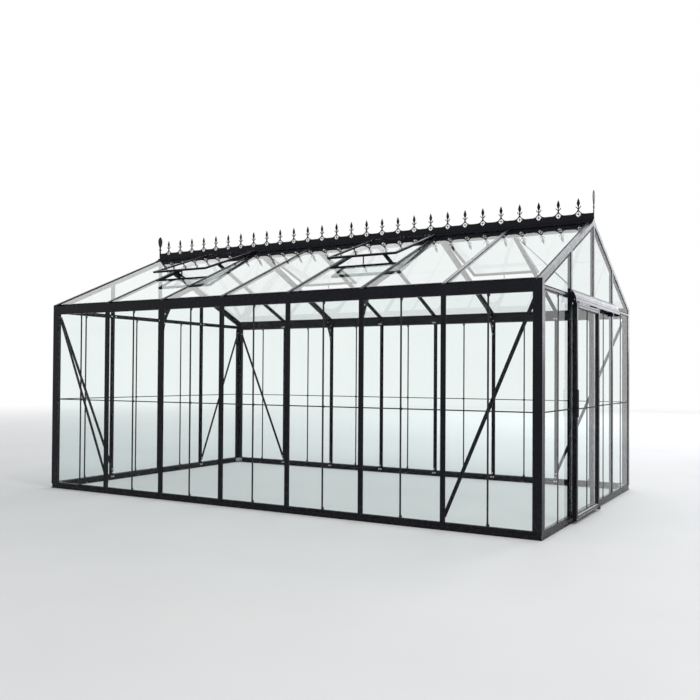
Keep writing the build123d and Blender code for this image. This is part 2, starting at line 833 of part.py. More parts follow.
def hood_outside():
    """The hood's outer line, with a groove where its slope changes near the lower edge."""
    line = hood_line(0)
    bottoms = hood_line(track_groove_depth)
    half = track_groove_height / 2
    outside = []
    for k, point in enumerate(line):
        if k in track_groove_at:
            outside += [towards(point, line[k - 1], half), bottoms[k], towards(point, line[k + 1], half)]
        else:
            outside.append(point)
    return outside


def hood_inside():
    """The hood's inner line, from the track's back wall to the lower edge."""
    line = hood_line(track_wall)
    (x0, z0), (x1, z1) = line[:2]
    line[0] = (track_wall, z0 + (track_wall - x0) * (z1 - z0) / (x1 - x0))
    (x0, z0), (x1, z1) = line[-2:]
    line[-1] = (x0 + (track_front_bottom - z0) * (x1 - x0) / (z1 - z0), track_front_bottom)
    return line


def track_outline():
    reach = track_ledge_reach
    shelf = track_ledge + track_ledge_thickness
    ledge = [(0, track_ledge), (reach, track_ledge), (reach, lip_top), (reach - track_lip_width, lip_top),
             (reach - track_lip_width, shelf), (track_wall, shelf)]
    return ledge + hood_inside() + hood_outside()[::-1]


track = prism_y([(half_length + o, z) for o, z in track_outline()], track_y0, track_y1)


def track_end(y0, y1):
    """End plate that also covers the gap over the leaf."""
    low = door_top - track_end_cover
    outline = hood_line(0) + [(track_depth, low), (0, low)]
    return prism_y([(half_length + o, z) for o, z in outline], y0, y1)


track_ends = [track_end(track_y0 - track_wall, track_y0), track_end(track_y1, track_y1 + track_wall)]

# Door leaf

leaf_x0 = half_length + door_gap
leaf_x1 = leaf_x0 + door_thickness


def leaf_section(depth_along, into):
    """Frame section as (across the leaf from its outer edge, through the leaf), grooved for the glass."""
    mid = door_thickness / 2
    half = glass_thickness / 2
    step = door_rebate
    c = door_corner
    line = (c + depth_along - step) / 2
    wide = door_groove_width / 2
    deep = door_groove_depth
    return [(0, c), (c, 0), (line - wide, 0), (line, deep), (line + wide, 0), (depth_along - step, 0),
            (depth_along, step), (depth_along, mid - half), (depth_along - into, mid - half),
            (depth_along - into, mid + half), (depth_along, mid + half), (depth_along, door_thickness - step),
            (depth_along - step, door_thickness), (line + wide, door_thickness), (line, door_thickness - deep),
            (line - wide, door_thickness), (c, door_thickness), (0, door_thickness - c)]


def stile(y, inward):
    points = [(leaf_x0 + through, y + inward * across) for across, through in leaf_section(door_stile, door_bite)]
    return prism_z(points, door_bottom, door_top)


def rail(z, inward):
    points = [(leaf_x0 + through, z + inward * across) for across, through in leaf_section(door_rail, door_bite)]
    return prism_y(points, rail_y0, rail_y1)


rail_y0 = door_y0 + door_stile
rail_y1 = door_y1 - door_stile
stiles = [stile(door_y0, 1), stile(door_y1, -1)]
rails = [rail(door_bottom, 1), rail(door_top, -1)]
glass_x0 = (leaf_x0 + leaf_x1 - glass_thickness) / 2
glass_x1 = glass_x0 + glass_thickness
strip_x0 = (leaf_x0 + leaf_x1 - strip_depth) / 2
strip_x1 = strip_x0 + strip_depth
door_mid = (door_y0 + door_y1) / 2
door_low = door_bottom + door_rail
door_high = door_top - door_rail
door_set = door_bite - glass_gap
door_panes = []
for y0, y1 in ((rail_y0 - door_set, door_mid - strip_width / 2), (door_mid + strip_width / 2, rail_y1 + door_set)):
    for z0, z1 in ((door_low - door_set, joint_height - joint_width / 2),
                   (joint_height + joint_width / 2, door_high + door_set)):
        door_panes.append(block(glass_x0, glass_x1, y0, y1, z0, z1))
door_strips = [
    block(strip_x0, strip_x1, door_mid - strip_width / 2, door_mid + strip_width / 2, door_low, door_high),
    block(strip_x0, strip_x1, rail_y0, door_mid - strip_width / 2, joint_height - joint_width / 2,
          joint_height + joint_width / 2),
    block(strip_x0, strip_x1, door_mid + strip_width / 2, rail_y1, joint_height - joint_width / 2,
          joint_height + joint_width / 2),
]

# Rollers that run on the lip of the track, each on a hanger plate fixed to the top rail of the leaf

roller_z = lip_top + roller_radius - roller_groove + roller_gap


def roller(y):
    r = roller_radius
    groove = roller_groove
    half = roller_width / 2
    gw = roller_groove_width / 2
    profile = [(0, -half), (r, -half), (r, -gw), (r - groove, -gw), (r - groove, gw), (r, gw), (r, half), (0, half)]
    plane = Plane(origin=(roller_x, y, roller_z), x_dir=(0, 1, 0), z_dir=(0, 0, 1))
    face = plane * make_face(Polyline(profile, close=True))
    return revolve(face, axis=Axis((roller_x, y, roller_z), (1, 0, 0)))


def hanger(y):
    x0 = roller_x + roller_width / 2
    plate = block(x0, x0 + hanger_thickness, y - hanger_width / 2, y + hanger_width / 2,
                  door_top, roller_z + hanger_rise)
    return plate


roller_y = [door_y0 + roller_inset, door_y1 - roller_inset]
rollers = [roller(y) for y in roller_y]
hangers = [hanger(y) for y in roller_y]

# Grip on the leading stile and the guide at the foot of the doorway

handle_y = door_y0 + (door_stile - handle_width) / 2
handle_outline = [(0, 0), (handle_height, 0), (handle_height, handle_wall), (handle_wall, handle_wall),
                  (handle_wall, handle_width), (0, handle_width)]
handle_centre = joint_height + handle_rise
handle = prism_z([(leaf_x1 + o, handle_y + u) for o, u in handle_outline],
                 handle_centre - handle_length / 2, handle_centre + handle_length / 2)
guide_y = (door_y1 + door_y0 + door_travel) / 2
guide_x = leaf_x1 + guide_gap + guide_wall
guide_floor = door_bottom - guide_gap - guide_wall
guide_outline = [(half_length, guide_floor), (guide_x, guide_floor), (guide_x, door_bottom + guide_cover),
                 (guide_x - guide_wall, door_bottom + guide_cover),
                 (guide_x - guide_wall, guide_floor + guide_wall), (half_length, guide_floor + guide_wall)]
guide = prism_y(guide_outline, guide_y - guide_length / 2, guide_y + guide_length / 2)

os.makedirs("parts", exist_ok=True)

write("base_rails_long", rail_front, across_ridge(rail_front))
write("base_rails_gable", rail_left, along_ridge(rail_left))
write("corner_posts", corner_front_left, along_ridge(corner_front_left), across_ridge(corner_front_left),
      along_ridge(across_ridge(corner_front_left)))
write("front_wall_posts", *posts_front)
write("back_wall_posts", *[across_ridge(p) for p in posts_front])
write("left_gable_posts", *posts_left)
write("right_gable_posts", *[along_ridge(p) for p in posts_left])
write("gutter_front", gutter_front)
write("gutter_back", across_ridge(gutter_front))
write("gutter_ends", gutter_end(-1), gutter_end(1), across_ridge(gutter_end(-1)), across_ridge(gutter_end(1)))
write("gable_ties", *ties_left, *[along_ridge(p) for p in ties_left])
write("verge_bars_front", verge_front_left, along_ridge(verge_front_left))
write("verge_bars_back", across_ridge(verge_front_left), along_ridge(across_ridge(verge_front_left)))
write("roof_bars_front", *bars_front)
write("roof_bars_back", *[across_ridge(b) for b in bars_front])
write("ridge_beam", ridge_beam)
write("ridge_cap", ridge_cap)
write("ridge_cresting", cresting)
write("gable_finials", finial(-1), finial(1))
write("front_wall_glass", *glass_front)
write("back_wall_glass", *[across_ridge(p) for p in glass_front])
write("left_gable_glass", *gable_glass(), *gable_head_glass())
write("right_gable_glass", *[along_ridge(p) for p in gable_glass(skip=(door_index,)) + gable_head_glass()])
write("front_wall_strips", *strips_front)
write("back_wall_strips", *[across_ridge(p) for p in strips_front])
write("gable_strips", *gable_strips(), *[along_ridge(p) for p in gable_strips(skip=(door_index,))])
write("roof_glass_front", *roof_glass(vent_front_index))
write("roof_glass_back", *[across_ridge(p) for p in roof_glass(vent_back_index)])
write("roof_vent_rails", *[vent_rail(i) for i in vent_front_index],
      *[across_ridge(vent_rail(i)) for i in vent_back_index])
write("roof_vent_sashes", *[vent_sash(i) for i in vent_front_index],
      *[across_ridge(vent_sash(i)) for i in vent_back_index])
write("roof_vent_glass", *[vent_pane(i) for i in vent_front_index],
      *[across_ridge(vent_pane(i)) for i in vent_back_index])
write("knee_brackets", *[knee(i) for i in portal_index], *[across_ridge(knee(i)) for i in portal_index])
write("roof_vent_stays", *[vent_stay(i) for i in vent_front_index],
      *[across_ridge(vent_stay(i)) for i in vent_back_index])
write("gable_stay", stay)
write("wall_braces", *braces_front, *[across_ridge(b) for b in braces_front], *braces_left)
write("door_track", track)
write("door_track_ends", *track_ends)
write("door_stiles", *stiles)
write("door_rails", *rails)
write("door_glass", *door_panes)
write("door_strips", *door_strips)
write("door_rollers", *rollers)
write("door_hangers", *hangers)
write("door_handle", handle)
write("door_guide", guide)
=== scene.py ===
# Looks for the glass greenhouse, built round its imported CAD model. Metres, Z up, X along the ridge.
import json
from math import cos, pi, radians, sin, tan
from random import Random

import bmesh
import bpy
from mathutils import Matrix, Vector


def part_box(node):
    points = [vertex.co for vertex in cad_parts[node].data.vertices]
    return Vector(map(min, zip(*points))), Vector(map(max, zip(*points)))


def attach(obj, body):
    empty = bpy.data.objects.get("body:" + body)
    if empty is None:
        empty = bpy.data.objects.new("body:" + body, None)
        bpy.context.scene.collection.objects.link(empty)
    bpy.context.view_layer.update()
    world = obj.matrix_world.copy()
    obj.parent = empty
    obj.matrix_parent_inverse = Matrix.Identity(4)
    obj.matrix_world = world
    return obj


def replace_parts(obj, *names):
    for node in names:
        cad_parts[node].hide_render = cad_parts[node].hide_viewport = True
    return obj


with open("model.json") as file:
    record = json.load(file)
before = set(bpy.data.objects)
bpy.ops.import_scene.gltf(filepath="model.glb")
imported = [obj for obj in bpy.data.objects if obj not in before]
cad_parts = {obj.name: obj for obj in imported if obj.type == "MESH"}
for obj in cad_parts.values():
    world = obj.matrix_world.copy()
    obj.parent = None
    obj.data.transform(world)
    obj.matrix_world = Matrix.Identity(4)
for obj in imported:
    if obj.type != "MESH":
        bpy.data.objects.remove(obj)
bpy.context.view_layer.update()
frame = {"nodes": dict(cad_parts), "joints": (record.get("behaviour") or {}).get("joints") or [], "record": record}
nodes = frame["nodes"]

# Sizes that the CAD model is drawn from
BAY = 0.72
BAYS_LONG = 7
BAYS_WIDE = 4
PITCH = radians(24.2)
BAR_RISE = 0.008
GLASS_OUTER = 0.004
GLASS_INNER = 0.007
POST_FACE = 0.038
POST_DEPTH = 0.034
BAR_FACE = 0.036
BAR_END = 0.006
PORTAL_DEPTH = 0.060
PORTAL_INDEX = (2, 5)
BASE_DEPTH = 0.038
BASE_FOOT_THICKNESS = 0.008
GUTTER_DEPTH = 0.056
GUTTER_HEIGHT = 0.084
TIE_DEPTH = 0.030
TIE_HEIGHT = 0.040
TIE_CAP_HEIGHT = 0.016
VERGE_CAP = 0.051
VERGE_LEG = 0.026
VERGE_FACE = 0.038
VERGE_WEB = 0.060
VERGE_GROOVE_INSET = 0.009
VERGE_GROOVE_WIDTH = 0.005
VERGE_GROOVE_DEPTH = 0.0025
BRACE_WIDTH = 0.030
BRACE_THICKNESS = 0.004
BRACE_END_DROP = 0.040
KNEE_THICKNESS = 0.006
STAY_INDEX = 1
STAY_RISE = 0.078
STAY_SETBACK = 0.060
STRIP_WIDTH = 0.012
JOINT_HEIGHT = 0.905
ROOF_GLASS_END = 0.030
DOOR_INDEX = 1
DOOR_STILE = 0.046
DOOR_RAIL = 0.046
ROLLER_INSET = 0.090
VENT_INDEX = {-1: (1, 4), 1: (2, 5)}
VENT_LENGTH = 0.850
VENT_RAIL_WIDTH = 0.030
VENT_ANGLE = radians(5)
SASH_GAP = 0.004
SASH_RAIL = 0.026
SASH_HEIGHT = 0.020
SASH_GLASS = 0.004
RIDGE_CAP_REACH = 0.062
RIDGE_CAP_THICKNESS = 0.004
CREST_PER_BAY = 4
CREST_THICKNESS = 0.005
CREST_DIAMOND_CENTRE = 0.040
CREST_CROSSING = 0.084
FINIAL_THICKNESS = 0.008

# Places read from the frame
HALF_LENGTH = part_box("ridge_cap")[1].x
HALF_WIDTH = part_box("base_rails_long")[1].y
BASE_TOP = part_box("base_rails_long")[1].z
GUTTER_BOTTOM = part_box("gutter_front")[0].z
EAVE = GUTTER_BOTTOM + GUTTER_HEIGHT
TIE_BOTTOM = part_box("gable_ties")[0].z
TIE_TOP = TIE_BOTTOM + TIE_HEIGHT
TIE_CAP_LOW = TIE_BOTTOM + (TIE_HEIGHT - TIE_CAP_HEIGHT) / 2
TIE_CAP_HIGH = TIE_CAP_LOW + TIE_CAP_HEIGHT
BEAM_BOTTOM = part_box("ridge_beam")[0].z
FIN_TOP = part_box("ridge_cresting")[0].z
LONG_GRID = [(i - BAYS_LONG / 2) * BAY for i in range(BAYS_LONG + 1)]
WIDE_GRID = [(i - BAYS_WIDE / 2) * BAY for i in range(BAYS_WIDE + 1)]
ROOF_START = EAVE + BAR_RISE
UP = Vector((0, 0, 1))
CORNERS = ((-1, -1), (-1, 1), (1, -1), (1, 1))

# How far an added shape sinks into what carries it
SINK = 0.0002
DEEP_SINK = 0.0003

SEED = 7


# Frames to build in

def frame_on(place, normal, along=None):
    """Matrix with its Z on the normal and its X as near as it can be to along."""
    z = Vector(normal).normalized()
    x = Vector(along) if along is not None else (UP if abs(z.z) < 0.9 else Vector((1, 0, 0)))
    x = (x - z * x.dot(z)).normalized()
    return Matrix.Translation(place) @ Matrix((x, z.cross(x), z)).transposed().to_4x4()


class Wall:
    """One wall, seen from outside: along it, depth into it, height."""

    def __init__(self, out, grid, half):
        self.out = Vector(out)
        self.along = UP.cross(self.out)
        self.grid = grid
        self.half = half

    def inner_posts(self):
        """Places of the posts between the corners."""
        return self.grid[1:-1]

    def point(self, a, depth, z):
        """A place on the wall."""
        return self.out * (self.half - depth) + self.along * a + UP * z

    def inside(self, a, depth, z):
        """Frame on an inner face, with its Z into the room."""
        return frame_on(self.point(a, depth, z), -self.out)


WALLS = {
    "front": Wall((0, -1, 0), LONG_GRID, HALF_WIDTH),
    "back": Wall((0, 1, 0), LONG_GRID, HALF_WIDTH),
    "left": Wall((-1, 0, 0), WIDE_GRID, HALF_LENGTH),
    "right": Wall((1, 0, 0), WIDE_GRID, HALF_LENGTH),
}
GABLES = ("left", "right")


def glazed_bays(name):
    """Numbers of a wall's bays, without the doorway."""
    return [i for i in range(len(WALLS[name].grid) - 1) if (name, i) != ("right", DOOR_INDEX)]


def bay_middle(grid, i):
    """Middle of a bay."""
    return (grid[i] + grid[i + 1]) / 2


def bay_edges(grid, i, face, end):
    """Where a bay's glass shows: between bars of a face's width, and as far as end in the outer bays."""
    low = grid[i] + face / 2 if i else -end
    high = grid[i + 1] - face / 2 if i < len(grid) - 2 else end
    return low, high


def roof_z(y, below=0.0):
    """Height of a plane below the tops of the roof bars, over a place across the ridge."""
    return ROOF_START + (HALF_WIDTH - abs(y)) * tan(PITCH) - below / cos(PITCH)


def roof_point(side, x, inward, below=0.0):
    """A place on a roof slope: side -1 is the front one, inward is the distance in from the eave face."""
    y = side * (HALF_WIDTH - inward)
    return Vector((x, y, roof_z(y, below)))


def roof_normal(side):
    """The way out of a roof slope."""
    return Vector((0, side * sin(PITCH), cos(PITCH)))


# Shapes added to a mesh under construction

def add_rings(bm, turn, rings):
    """Skin over rings of local points, closed at both ends."""
    made = [[bm.verts.new(turn @ Vector(p)) for p in ring] for ring in rings]
    count = len(rings[0])
    for low, high in zip(made, made[1:]):
        for k in range(count):
            bm.faces.new((low[k], low[(k + 1) % count], high[(k + 1) % count], high[k]))
    bm.faces.new(list(reversed(made[0])))
    bm.faces.new(made[-1])


def add_lathe(bm, turn, profile, steps):
    """A profile of (radius, height) turned about the local Z."""
    angles = [2 * pi * k / steps for k in range(steps)]
    add_rings(bm, turn, [[(r * cos(a), r * sin(a), h) for a in angles] for r, h in profile])


def add_prism(bm, turn, outline, low, high, chamfer=0.0):
    """An outline carried along the local Z, with its upper edge chamfered."""
    rings = [[(u, v, low) for u, v in outline], [(u, v, high - chamfer) for u, v in outline]]
    if chamfer:
        reach = max(max(abs(u), abs(v)) for u, v in outline)
        shrink = 1 - chamfer / reach
        cu = sum(u for u, _ in outline) / len(outline)
        cv = sum(v for _, v in outline) / len(outline)
        rings.append([(cu + (u - cu) * shrink, cv + (v - cv) * shrink, high) for u, v in outline])
    add_rings(bm, turn, rings)


def add_run(bm, start, end, side, outline):
    """An outline of (towards side, across it) carried straight from start to end."""
    run = end - start
    add_prism(bm, frame_on(start, run, side), outline, 0, run.length)


def add_loop(bm, corners, side, outline):
    """An outline carried straight from each corner to the next, and from the last to the first."""
    for start, end in zip(corners, corners[1:] + corners[:1]):
        add_run(bm, start, end, side, outline)


def hexagon(across):
    """A hexagon about the origin, of a width across its flats."""
    r = across / 2 / cos(pi / 6)
    return [(r * cos(k * pi / 3), r * sin(k * pi / 3)) for k in range(6)]


def rectangle(width, height, corner=0.0):
    """A rectangle about the origin, its corners cut off."""
    w, h, c = width / 2, height / 2, corner
    if not c:
        return [(w, h), (-w, h), (-w, -h), (w, -h)]
    return [(w, h - c), (w - c, h), (c - w, h), (-w, h - c),
            (-w, c - h), (c - w, -h), (w - c, -h), (w, c - h)]


def add_bolt(bm, turn, across=0.010):
    """Hexagon head on a washer."""
    washer = 0.14 * across
    add_lathe(bm, turn, [(0.92 * across, -DEEP_SINK), (0.92 * across, 0.7 * washer), (0.84 * across, washer),
                         (0.3 * across, washer)], steps=16)
    add_prism(bm, turn, hexagon(across), washer, washer + 0.42 * across, chamfer=0.1 * across)


def add_screw(bm, turn, radius=0.004):
    """Low domed head with a round socket."""
    r = radius
    add_lathe(bm, turn, [(r, -SINK), (r, 0.18 * r), (0.86 * r, 0.40 * r), (0.55 * r, 0.56 * r),
                         (0.34 * r, 0.60 * r), (0.30 * r, 0.22 * r)], steps=12)


def add_bar(bm, start, end, radius):
    """Round bar with chamfered ends."""
    run = end - start
    c = 0.25 * radius
    profile = [(radius - c, 0), (radius, c), (radius, run.length - c), (radius - c, run.length)]
    add_lathe(bm, frame_on(start, run), profile, steps=12)


# Materials

class Nodes:
    """Shorthand for building a node tree."""

    def __init__(self, tree):
        self.tree = tree
        tree.nodes.clear()

    def add(self, kind, **settings):
        """A new node of a kind, with its settings."""
        node = self.tree.nodes.new(kind)
        for key, value in settings.items():
            setattr(node, key, value)
        return node

    def link(self, source, target):
        """Joins an output to an input."""
        self.tree.links.new(source, target)

    def place(self):
        """The object's own metres."""
        return self.add("ShaderNodeTexCoord").outputs["Object"]

    def noise(self, scale, detail=3.0):
        """Noise over the object's own metres."""
        noise = self.add("ShaderNodeTexNoise")
        noise.inputs["Scale"].default_value = scale
        noise.inputs["Detail"].default_value = detail
        self.link(self.place(), noise.inputs["Vector"])
        return noise.outputs["Fac"]

    def math(self, operation, first, second):
        """What an operation makes of two numbers."""
        node = self.add("ShaderNodeMath", operation=operation)
        self.link(first, node.inputs[0])
        self.link(second, node.inputs[1])
        return node.outputs["Value"]

    def mix_shaders(self, factor, first, second):
        """A shader that goes from the first to the second with a factor."""
        node = self.add("ShaderNodeMixShader")
        self.link(factor, node.inputs["Fac"])
        self.link(first, node.inputs[1])
        self.link(second, node.inputs[2])
        return node.outputs["Shader"]

    def between(self, factor, low, high, start=0.3, end=0.7):
        """A number that goes from low to high while a factor goes from start to end."""
        node = self.add("ShaderNodeMapRange")
        for name, value in (("From Min", start), ("From Max", end), ("To Min", low), ("To Max", high)):
            node.inputs[name].default_value = value
        self.link(factor, node.inputs["Value"])
        return node.outputs["Result"]

    def ramp(self, factor, low, high, start=0.3, end=0.7):
        """A colour that goes from low to high while a factor goes from start to end."""
        node = self.add("ShaderNodeValToRGB")
        for element, place, colour in zip(node.color_ramp.elements, (start, end), (low, high)):
            element.position = place
            element.color = (*colour, 1)
        self.link(factor, node.inputs["Fac"])
        return node.outputs["Color"]

    def bump(self, height, strength, distance):
        """A normal that follows a height."""
        node = self.add("ShaderNodeBump")
        node.inputs["Strength"].default_value = strength
        node.inputs["Distance"].default_value = distance
        self.link(height, node.inputs["Height"])
        return node.outputs["Normal"]


def new_material(name):
    """A material, its node tree, its main shader and its output."""
    material = bpy.data.materials.new(name)
    material.use_nodes = True
    tree = Nodes(material.node_tree)
    output = tree.add("ShaderNodeOutputMaterial")
    shader = tree.add("ShaderNodeBsdfPrincipled")
    tree.link(shader.outputs["BSDF"], output.inputs["Surface"])
    return material, tree, shader, output


def powder_coat():
    """Black satin powder coat: fine orange peel, faint blotches, pale dust low down."""
    material, tree, shader, _ = new_material("black_powder_coat")
    shader.inputs["Specular IOR Level"].default_value = 0.13
    coat = tree.ramp(tree.noise(5.0, detail=4.0), (0.0038, 0.0042, 0.0074), (0.0070, 0.0077, 0.0130))
    height = tree.add("ShaderNodeSeparateXYZ")
    tree.link(tree.place(), height.inputs["Vector"])
    near_ground = tree.between(height.outputs["Z"], low=0.35, high=0.0, start=0.0, end=0.30)
    speck = tree.between(tree.noise(60.0, detail=6.0), low=0.0, high=1.0, start=0.42, end=0.72)
    mix = tree.add("ShaderNodeMix", data_type="RGBA")
    mix.inputs["B"].default_value = (0.060, 0.057, 0.052, 1)
    tree.link(tree.math("MULTIPLY", near_ground, speck), mix.inputs["Factor"])
    tree.link(coat, mix.inputs["A"])
    tree.link(mix.outputs["Result"], shader.inputs["Base Color"])
    tree.link(tree.between(tree.noise(22.0, detail=5.0), low=0.20, high=0.32), shader.inputs["Roughness"])
    peel = tree.bump(tree.noise(750.0, detail=2.0), strength=0.15, distance=0.0003)
    tree.link(peel, shader.inputs["Normal"])
    return material


def pane_glass(name, ior):
    """Clear float glass, a little green, that lets light through to what is behind it."""
    material, tree, shader, output = new_material(name)
    shader.inputs["Roughness"].default_value = 0.0
    shader.inputs["IOR"].default_value = ior
    shader.inputs["Transmission Weight"].default_value = 1.0
    tint = tree.ramp(tree.noise(1.3, detail=2.0), (0.905, 0.945, 0.937), (0.925, 0.957, 0.951),
                     start=0.35, end=0.65)
    tree.link(tint, shader.inputs["Base Color"])
    waves = tree.bump(tree.noise(2.2, detail=1.0), strength=0.02, distance=0.001)
    tree.link(waves, shader.inputs["Normal"])
    clear = tree.add("ShaderNodeBsdfTransparent")
    clear.inputs["Color"].default_value = (0.955, 0.975, 0.970, 1)
    path = tree.add("ShaderNodeLightPath")
    either = tree.math("MAXIMUM", path.outputs["Is Shadow Ray"], path.outputs["Is Diffuse Ray"])
    mix = tree.mix_shaders(either, shader.outputs["BSDF"], clear.outputs["BSDF"])
    tree.link(mix, output.inputs["Surface"])
    return material


def rubber():
    """Matt black glazing rubber, slightly greyed."""
    material, tree, shader, _ = new_material("glazing_rubber")
    shader.inputs["Specular IOR Level"].default_value = 0.3
    tone = tree.ramp(tree.noise(35.0), (0.016, 0.016, 0.016), (0.028, 0.028, 0.027))
    tree.link(tone, shader.inputs["Base Color"])
    tree.link(tree.between(tree.noise(90.0), low=0.68, high=0.86), shader.inputs["Roughness"])
    grain = tree.bump(tree.noise(1400.0, detail=2.0), strength=0.35, distance=0.0003)
    tree.link(grain, shader.inputs["Normal"])
    return material


def moulded_plastic():
    """Black moulded plastic with a fine spark-eroded grain."""
    material, tree, shader, _ = new_material("moulded_black_plastic")
    shader.inputs["Specular IOR Level"].default_value = 0.45
    tone = tree.ramp(tree.noise(14.0), (0.020, 0.020, 0.021), (0.030, 0.030, 0.031))
    tree.link(tone, shader.inputs["Base Color"])
    tree.link(tree.between(tree.noise(50.0), low=0.48, high=0.62), shader.inputs["Roughness"])
    grain = tree.bump(tree.noise(2100.0), strength=0.45, distance=0.0002)
    tree.link(grain, shader.inputs["Normal"])
    return material


def bright_zinc():
    """Zinc plated bolt heads, mottled."""
    material, tree, shader, _ = new_material("zinc_plate")
    shader.inputs["Metallic"].default_value = 1.0
    tone = tree.ramp(tree.noise(260.0, detail=4.0), (0.56, 0.57, 0.58), (0.74, 0.75, 0.76))
    tree.link(tone, shader.inputs["Base Color"])
    tree.link(tree.between(tree.noise(400.0, detail=4.0), low=0.26, high=0.44), shader.inputs["Roughness"])
    grain = tree.bump(tree.noise(1500.0, detail=2.0), strength=0.2, distance=0.0002)
    tree.link(grain, shader.inputs["Normal"])
    return material


def brush_pile():
    """Dark grey nylon pile of the door's brush seals."""
    material, tree, shader, _ = new_material("nylon_pile")
    shader.inputs["Sheen Weight"].default_value = 0.25
    tone = tree.ramp(tree.noise(900.0, detail=2.0), (0.018, 0.018, 0.019), (0.050, 0.050, 0.052))
    tree.link(tone, shader.inputs["Base Color"])
    tree.link(tree.between(tree.noise(500.0), low=0.7, high=0.9), shader.inputs["Roughness"])
    return material


COAT = powder_coat()
WALL_GLASS = pane_glass("clear_float_glass", ior=1.15)
ROOF_GLASS = pane_glass("roof_float_glass", ior=1.5)
RUBBER = rubber()
PLASTIC = moulded_plastic()
ZINC = bright_zinc()
PILE = brush_pile()

BY_SLOT = {"frame_metal": COAT, "clear_glass": WALL_GLASS, "glazing_trim": RUBBER, "black_plastic": PLASTIC}
ROOF_PANES = ("roof_glass_front", "roof_glass_back", "roof_vent_glass")
for part in frame["record"]["subparts"]:
    mesh = nodes[part["node"]].data
    mesh.materials.clear()
    mesh.materials.append(ROOF_GLASS if part["node"] in ROOF_PANES else BY_SLOT[part["material_slot"]])


def finish_piece(name, bm, material, body="building", crease=35):
    """Makes the piece from its mesh, with soft shading and sharp creases, and lets it ride on a body."""
    bmesh.ops.recalc_face_normals(bm, faces=bm.faces)
    mesh = bpy.data.meshes.new(name)
    bm.to_mesh(mesh)
    bm.free()
    mesh.materials.append(material)
    mesh.shade_smooth()
    mesh.set_sharp_from_angle(angle=radians(crease))
    piece = bpy.data.objects.new(name, mesh)
    bpy.context.scene.collection.objects.link(piece)
    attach(piece, body)
    return piece


# Bolts of the frame

def post_foot_bolts():
    """Two bolts through the base rail at every post, and one into the post's foot."""
    bm = bmesh.new()
    spread = 0.013
    rail_height = 0.033
    rise = 0.018
    for wall in WALLS.values():
        for a in wall.inner_posts():
            for shift in (-spread, spread):
                add_bolt(bm, wall.inside(a + shift, BASE_DEPTH, rail_height))
            add_bolt(bm, wall.inside(a, POST_DEPTH, BASE_TOP + rise), across=0.008)
    finish_piece("post_foot_bolts", bm, ZINC)


def post_head_bolts():
    """Two bolts through the gutter's inner wall or the gable tie at every post head."""
    bm = bmesh.new()
    for name, wall in WALLS.items():
        if name in GABLES:
            spread, depth, height = 0.030, TIE_DEPTH, (TIE_BOTTOM + TIE_TOP) / 2
        else:
            spread, depth, height = 0.013, GUTTER_DEPTH, GUTTER_BOTTOM + 0.018
        for a in wall.inner_posts():
            for shift in (-spread, spread):
                add_bolt(bm, wall.inside(a + shift, depth, height))
    finish_piece("post_head_bolts", bm, ZINC)


def verge_bolts():
    """A row of bolts under the web of each verge bar."""
    bm = bmesh.new()
    count = 8
    first = 0.130
    spacing = 0.155
    inset = (GLASS_INNER + VERGE_LEG) / 2
    for end, side in CORNERS:
        for k in range(count):
            place = roof_point(side, end * (HALF_LENGTH - inset), first + k * spacing, VERGE_WEB)
            add_bolt(bm, frame_on(place, -roof_normal(side)), across=0.008)
    finish_piece("verge_bar_bolts", bm, ZINC)


def verge_cords():
    """Rubber cover in the groove along the top of each verge bar, from the eave to the ridge cap."""
    bm = bmesh.new()
    play = 0.0002
    bite = 0.0001
    flange = 0.0060
    rise = 0.0016
    eave_end = 0.002
    half = VERGE_GROOVE_WIDTH / 2 - play
    floor = -VERGE_GROOVE_DEPTH - bite
    right = [(-bite, half), (-bite, flange), (0.4 * rise, flange), (rise, 0.7 * flange)]
    outline = [(floor, half)] + right + [(a, -b) for a, b in right[::-1]] + [(floor, -half)]
    for end, side in CORNERS:
        x = end * (HALF_LENGTH - VERGE_CAP + VERGE_GROOVE_INSET)
        start = roof_point(side, x, eave_end)
        stop = roof_point(side, x, HALF_WIDTH - RIDGE_CAP_REACH)
        add_run(bm, start, stop, roof_normal(side), outline)
    finish_piece("verge_cords", bm, RUBBER)


def ridge_beam_bolts():
    """Four bolts under the ridge beam's flange at every roof bar, two on each side of it."""
    bm = bmesh.new()
    along = 0.028
    across = 0.011
    for x in LONG_GRID[1:-1]:
        for su, sv in CORNERS:
            turn = frame_on((x + su * along, sv * across, BEAM_BOTTOM), (0, 0, -1))
            add_bolt(bm, turn, across=0.008)
    finish_piece("ridge_beam_bolts", bm, ZINC)


def knee_bolts():
    """Bolts and nuts through the knee plates, two at the post and two under the rafter."""
    bm = bmesh.new()
    post_y = HALF_WIDTH - POST_DEPTH
    under_rafter = 0.020
    spots = [(post_y - 0.018, GUTTER_BOTTOM - 0.040), (post_y - 0.014, GUTTER_BOTTOM - 0.130)]
    for inward in (0.110, 0.200):
        y = HALF_WIDTH - inward
        spots.append((y, roof_z(y, PORTAL_DEPTH) - under_rafter))
    for side in (-1, 1):
        for i in PORTAL_INDEX:
            for y, z in spots:
                for face in (-1, 1):
                    place = (LONG_GRID[i] + face * KNEE_THICKNESS / 2, side * y, z)
                    add_bolt(bm, frame_on(place, (face, 0, 0)))
    finish_piece("knee_bracket_bolts", bm, ZINC)


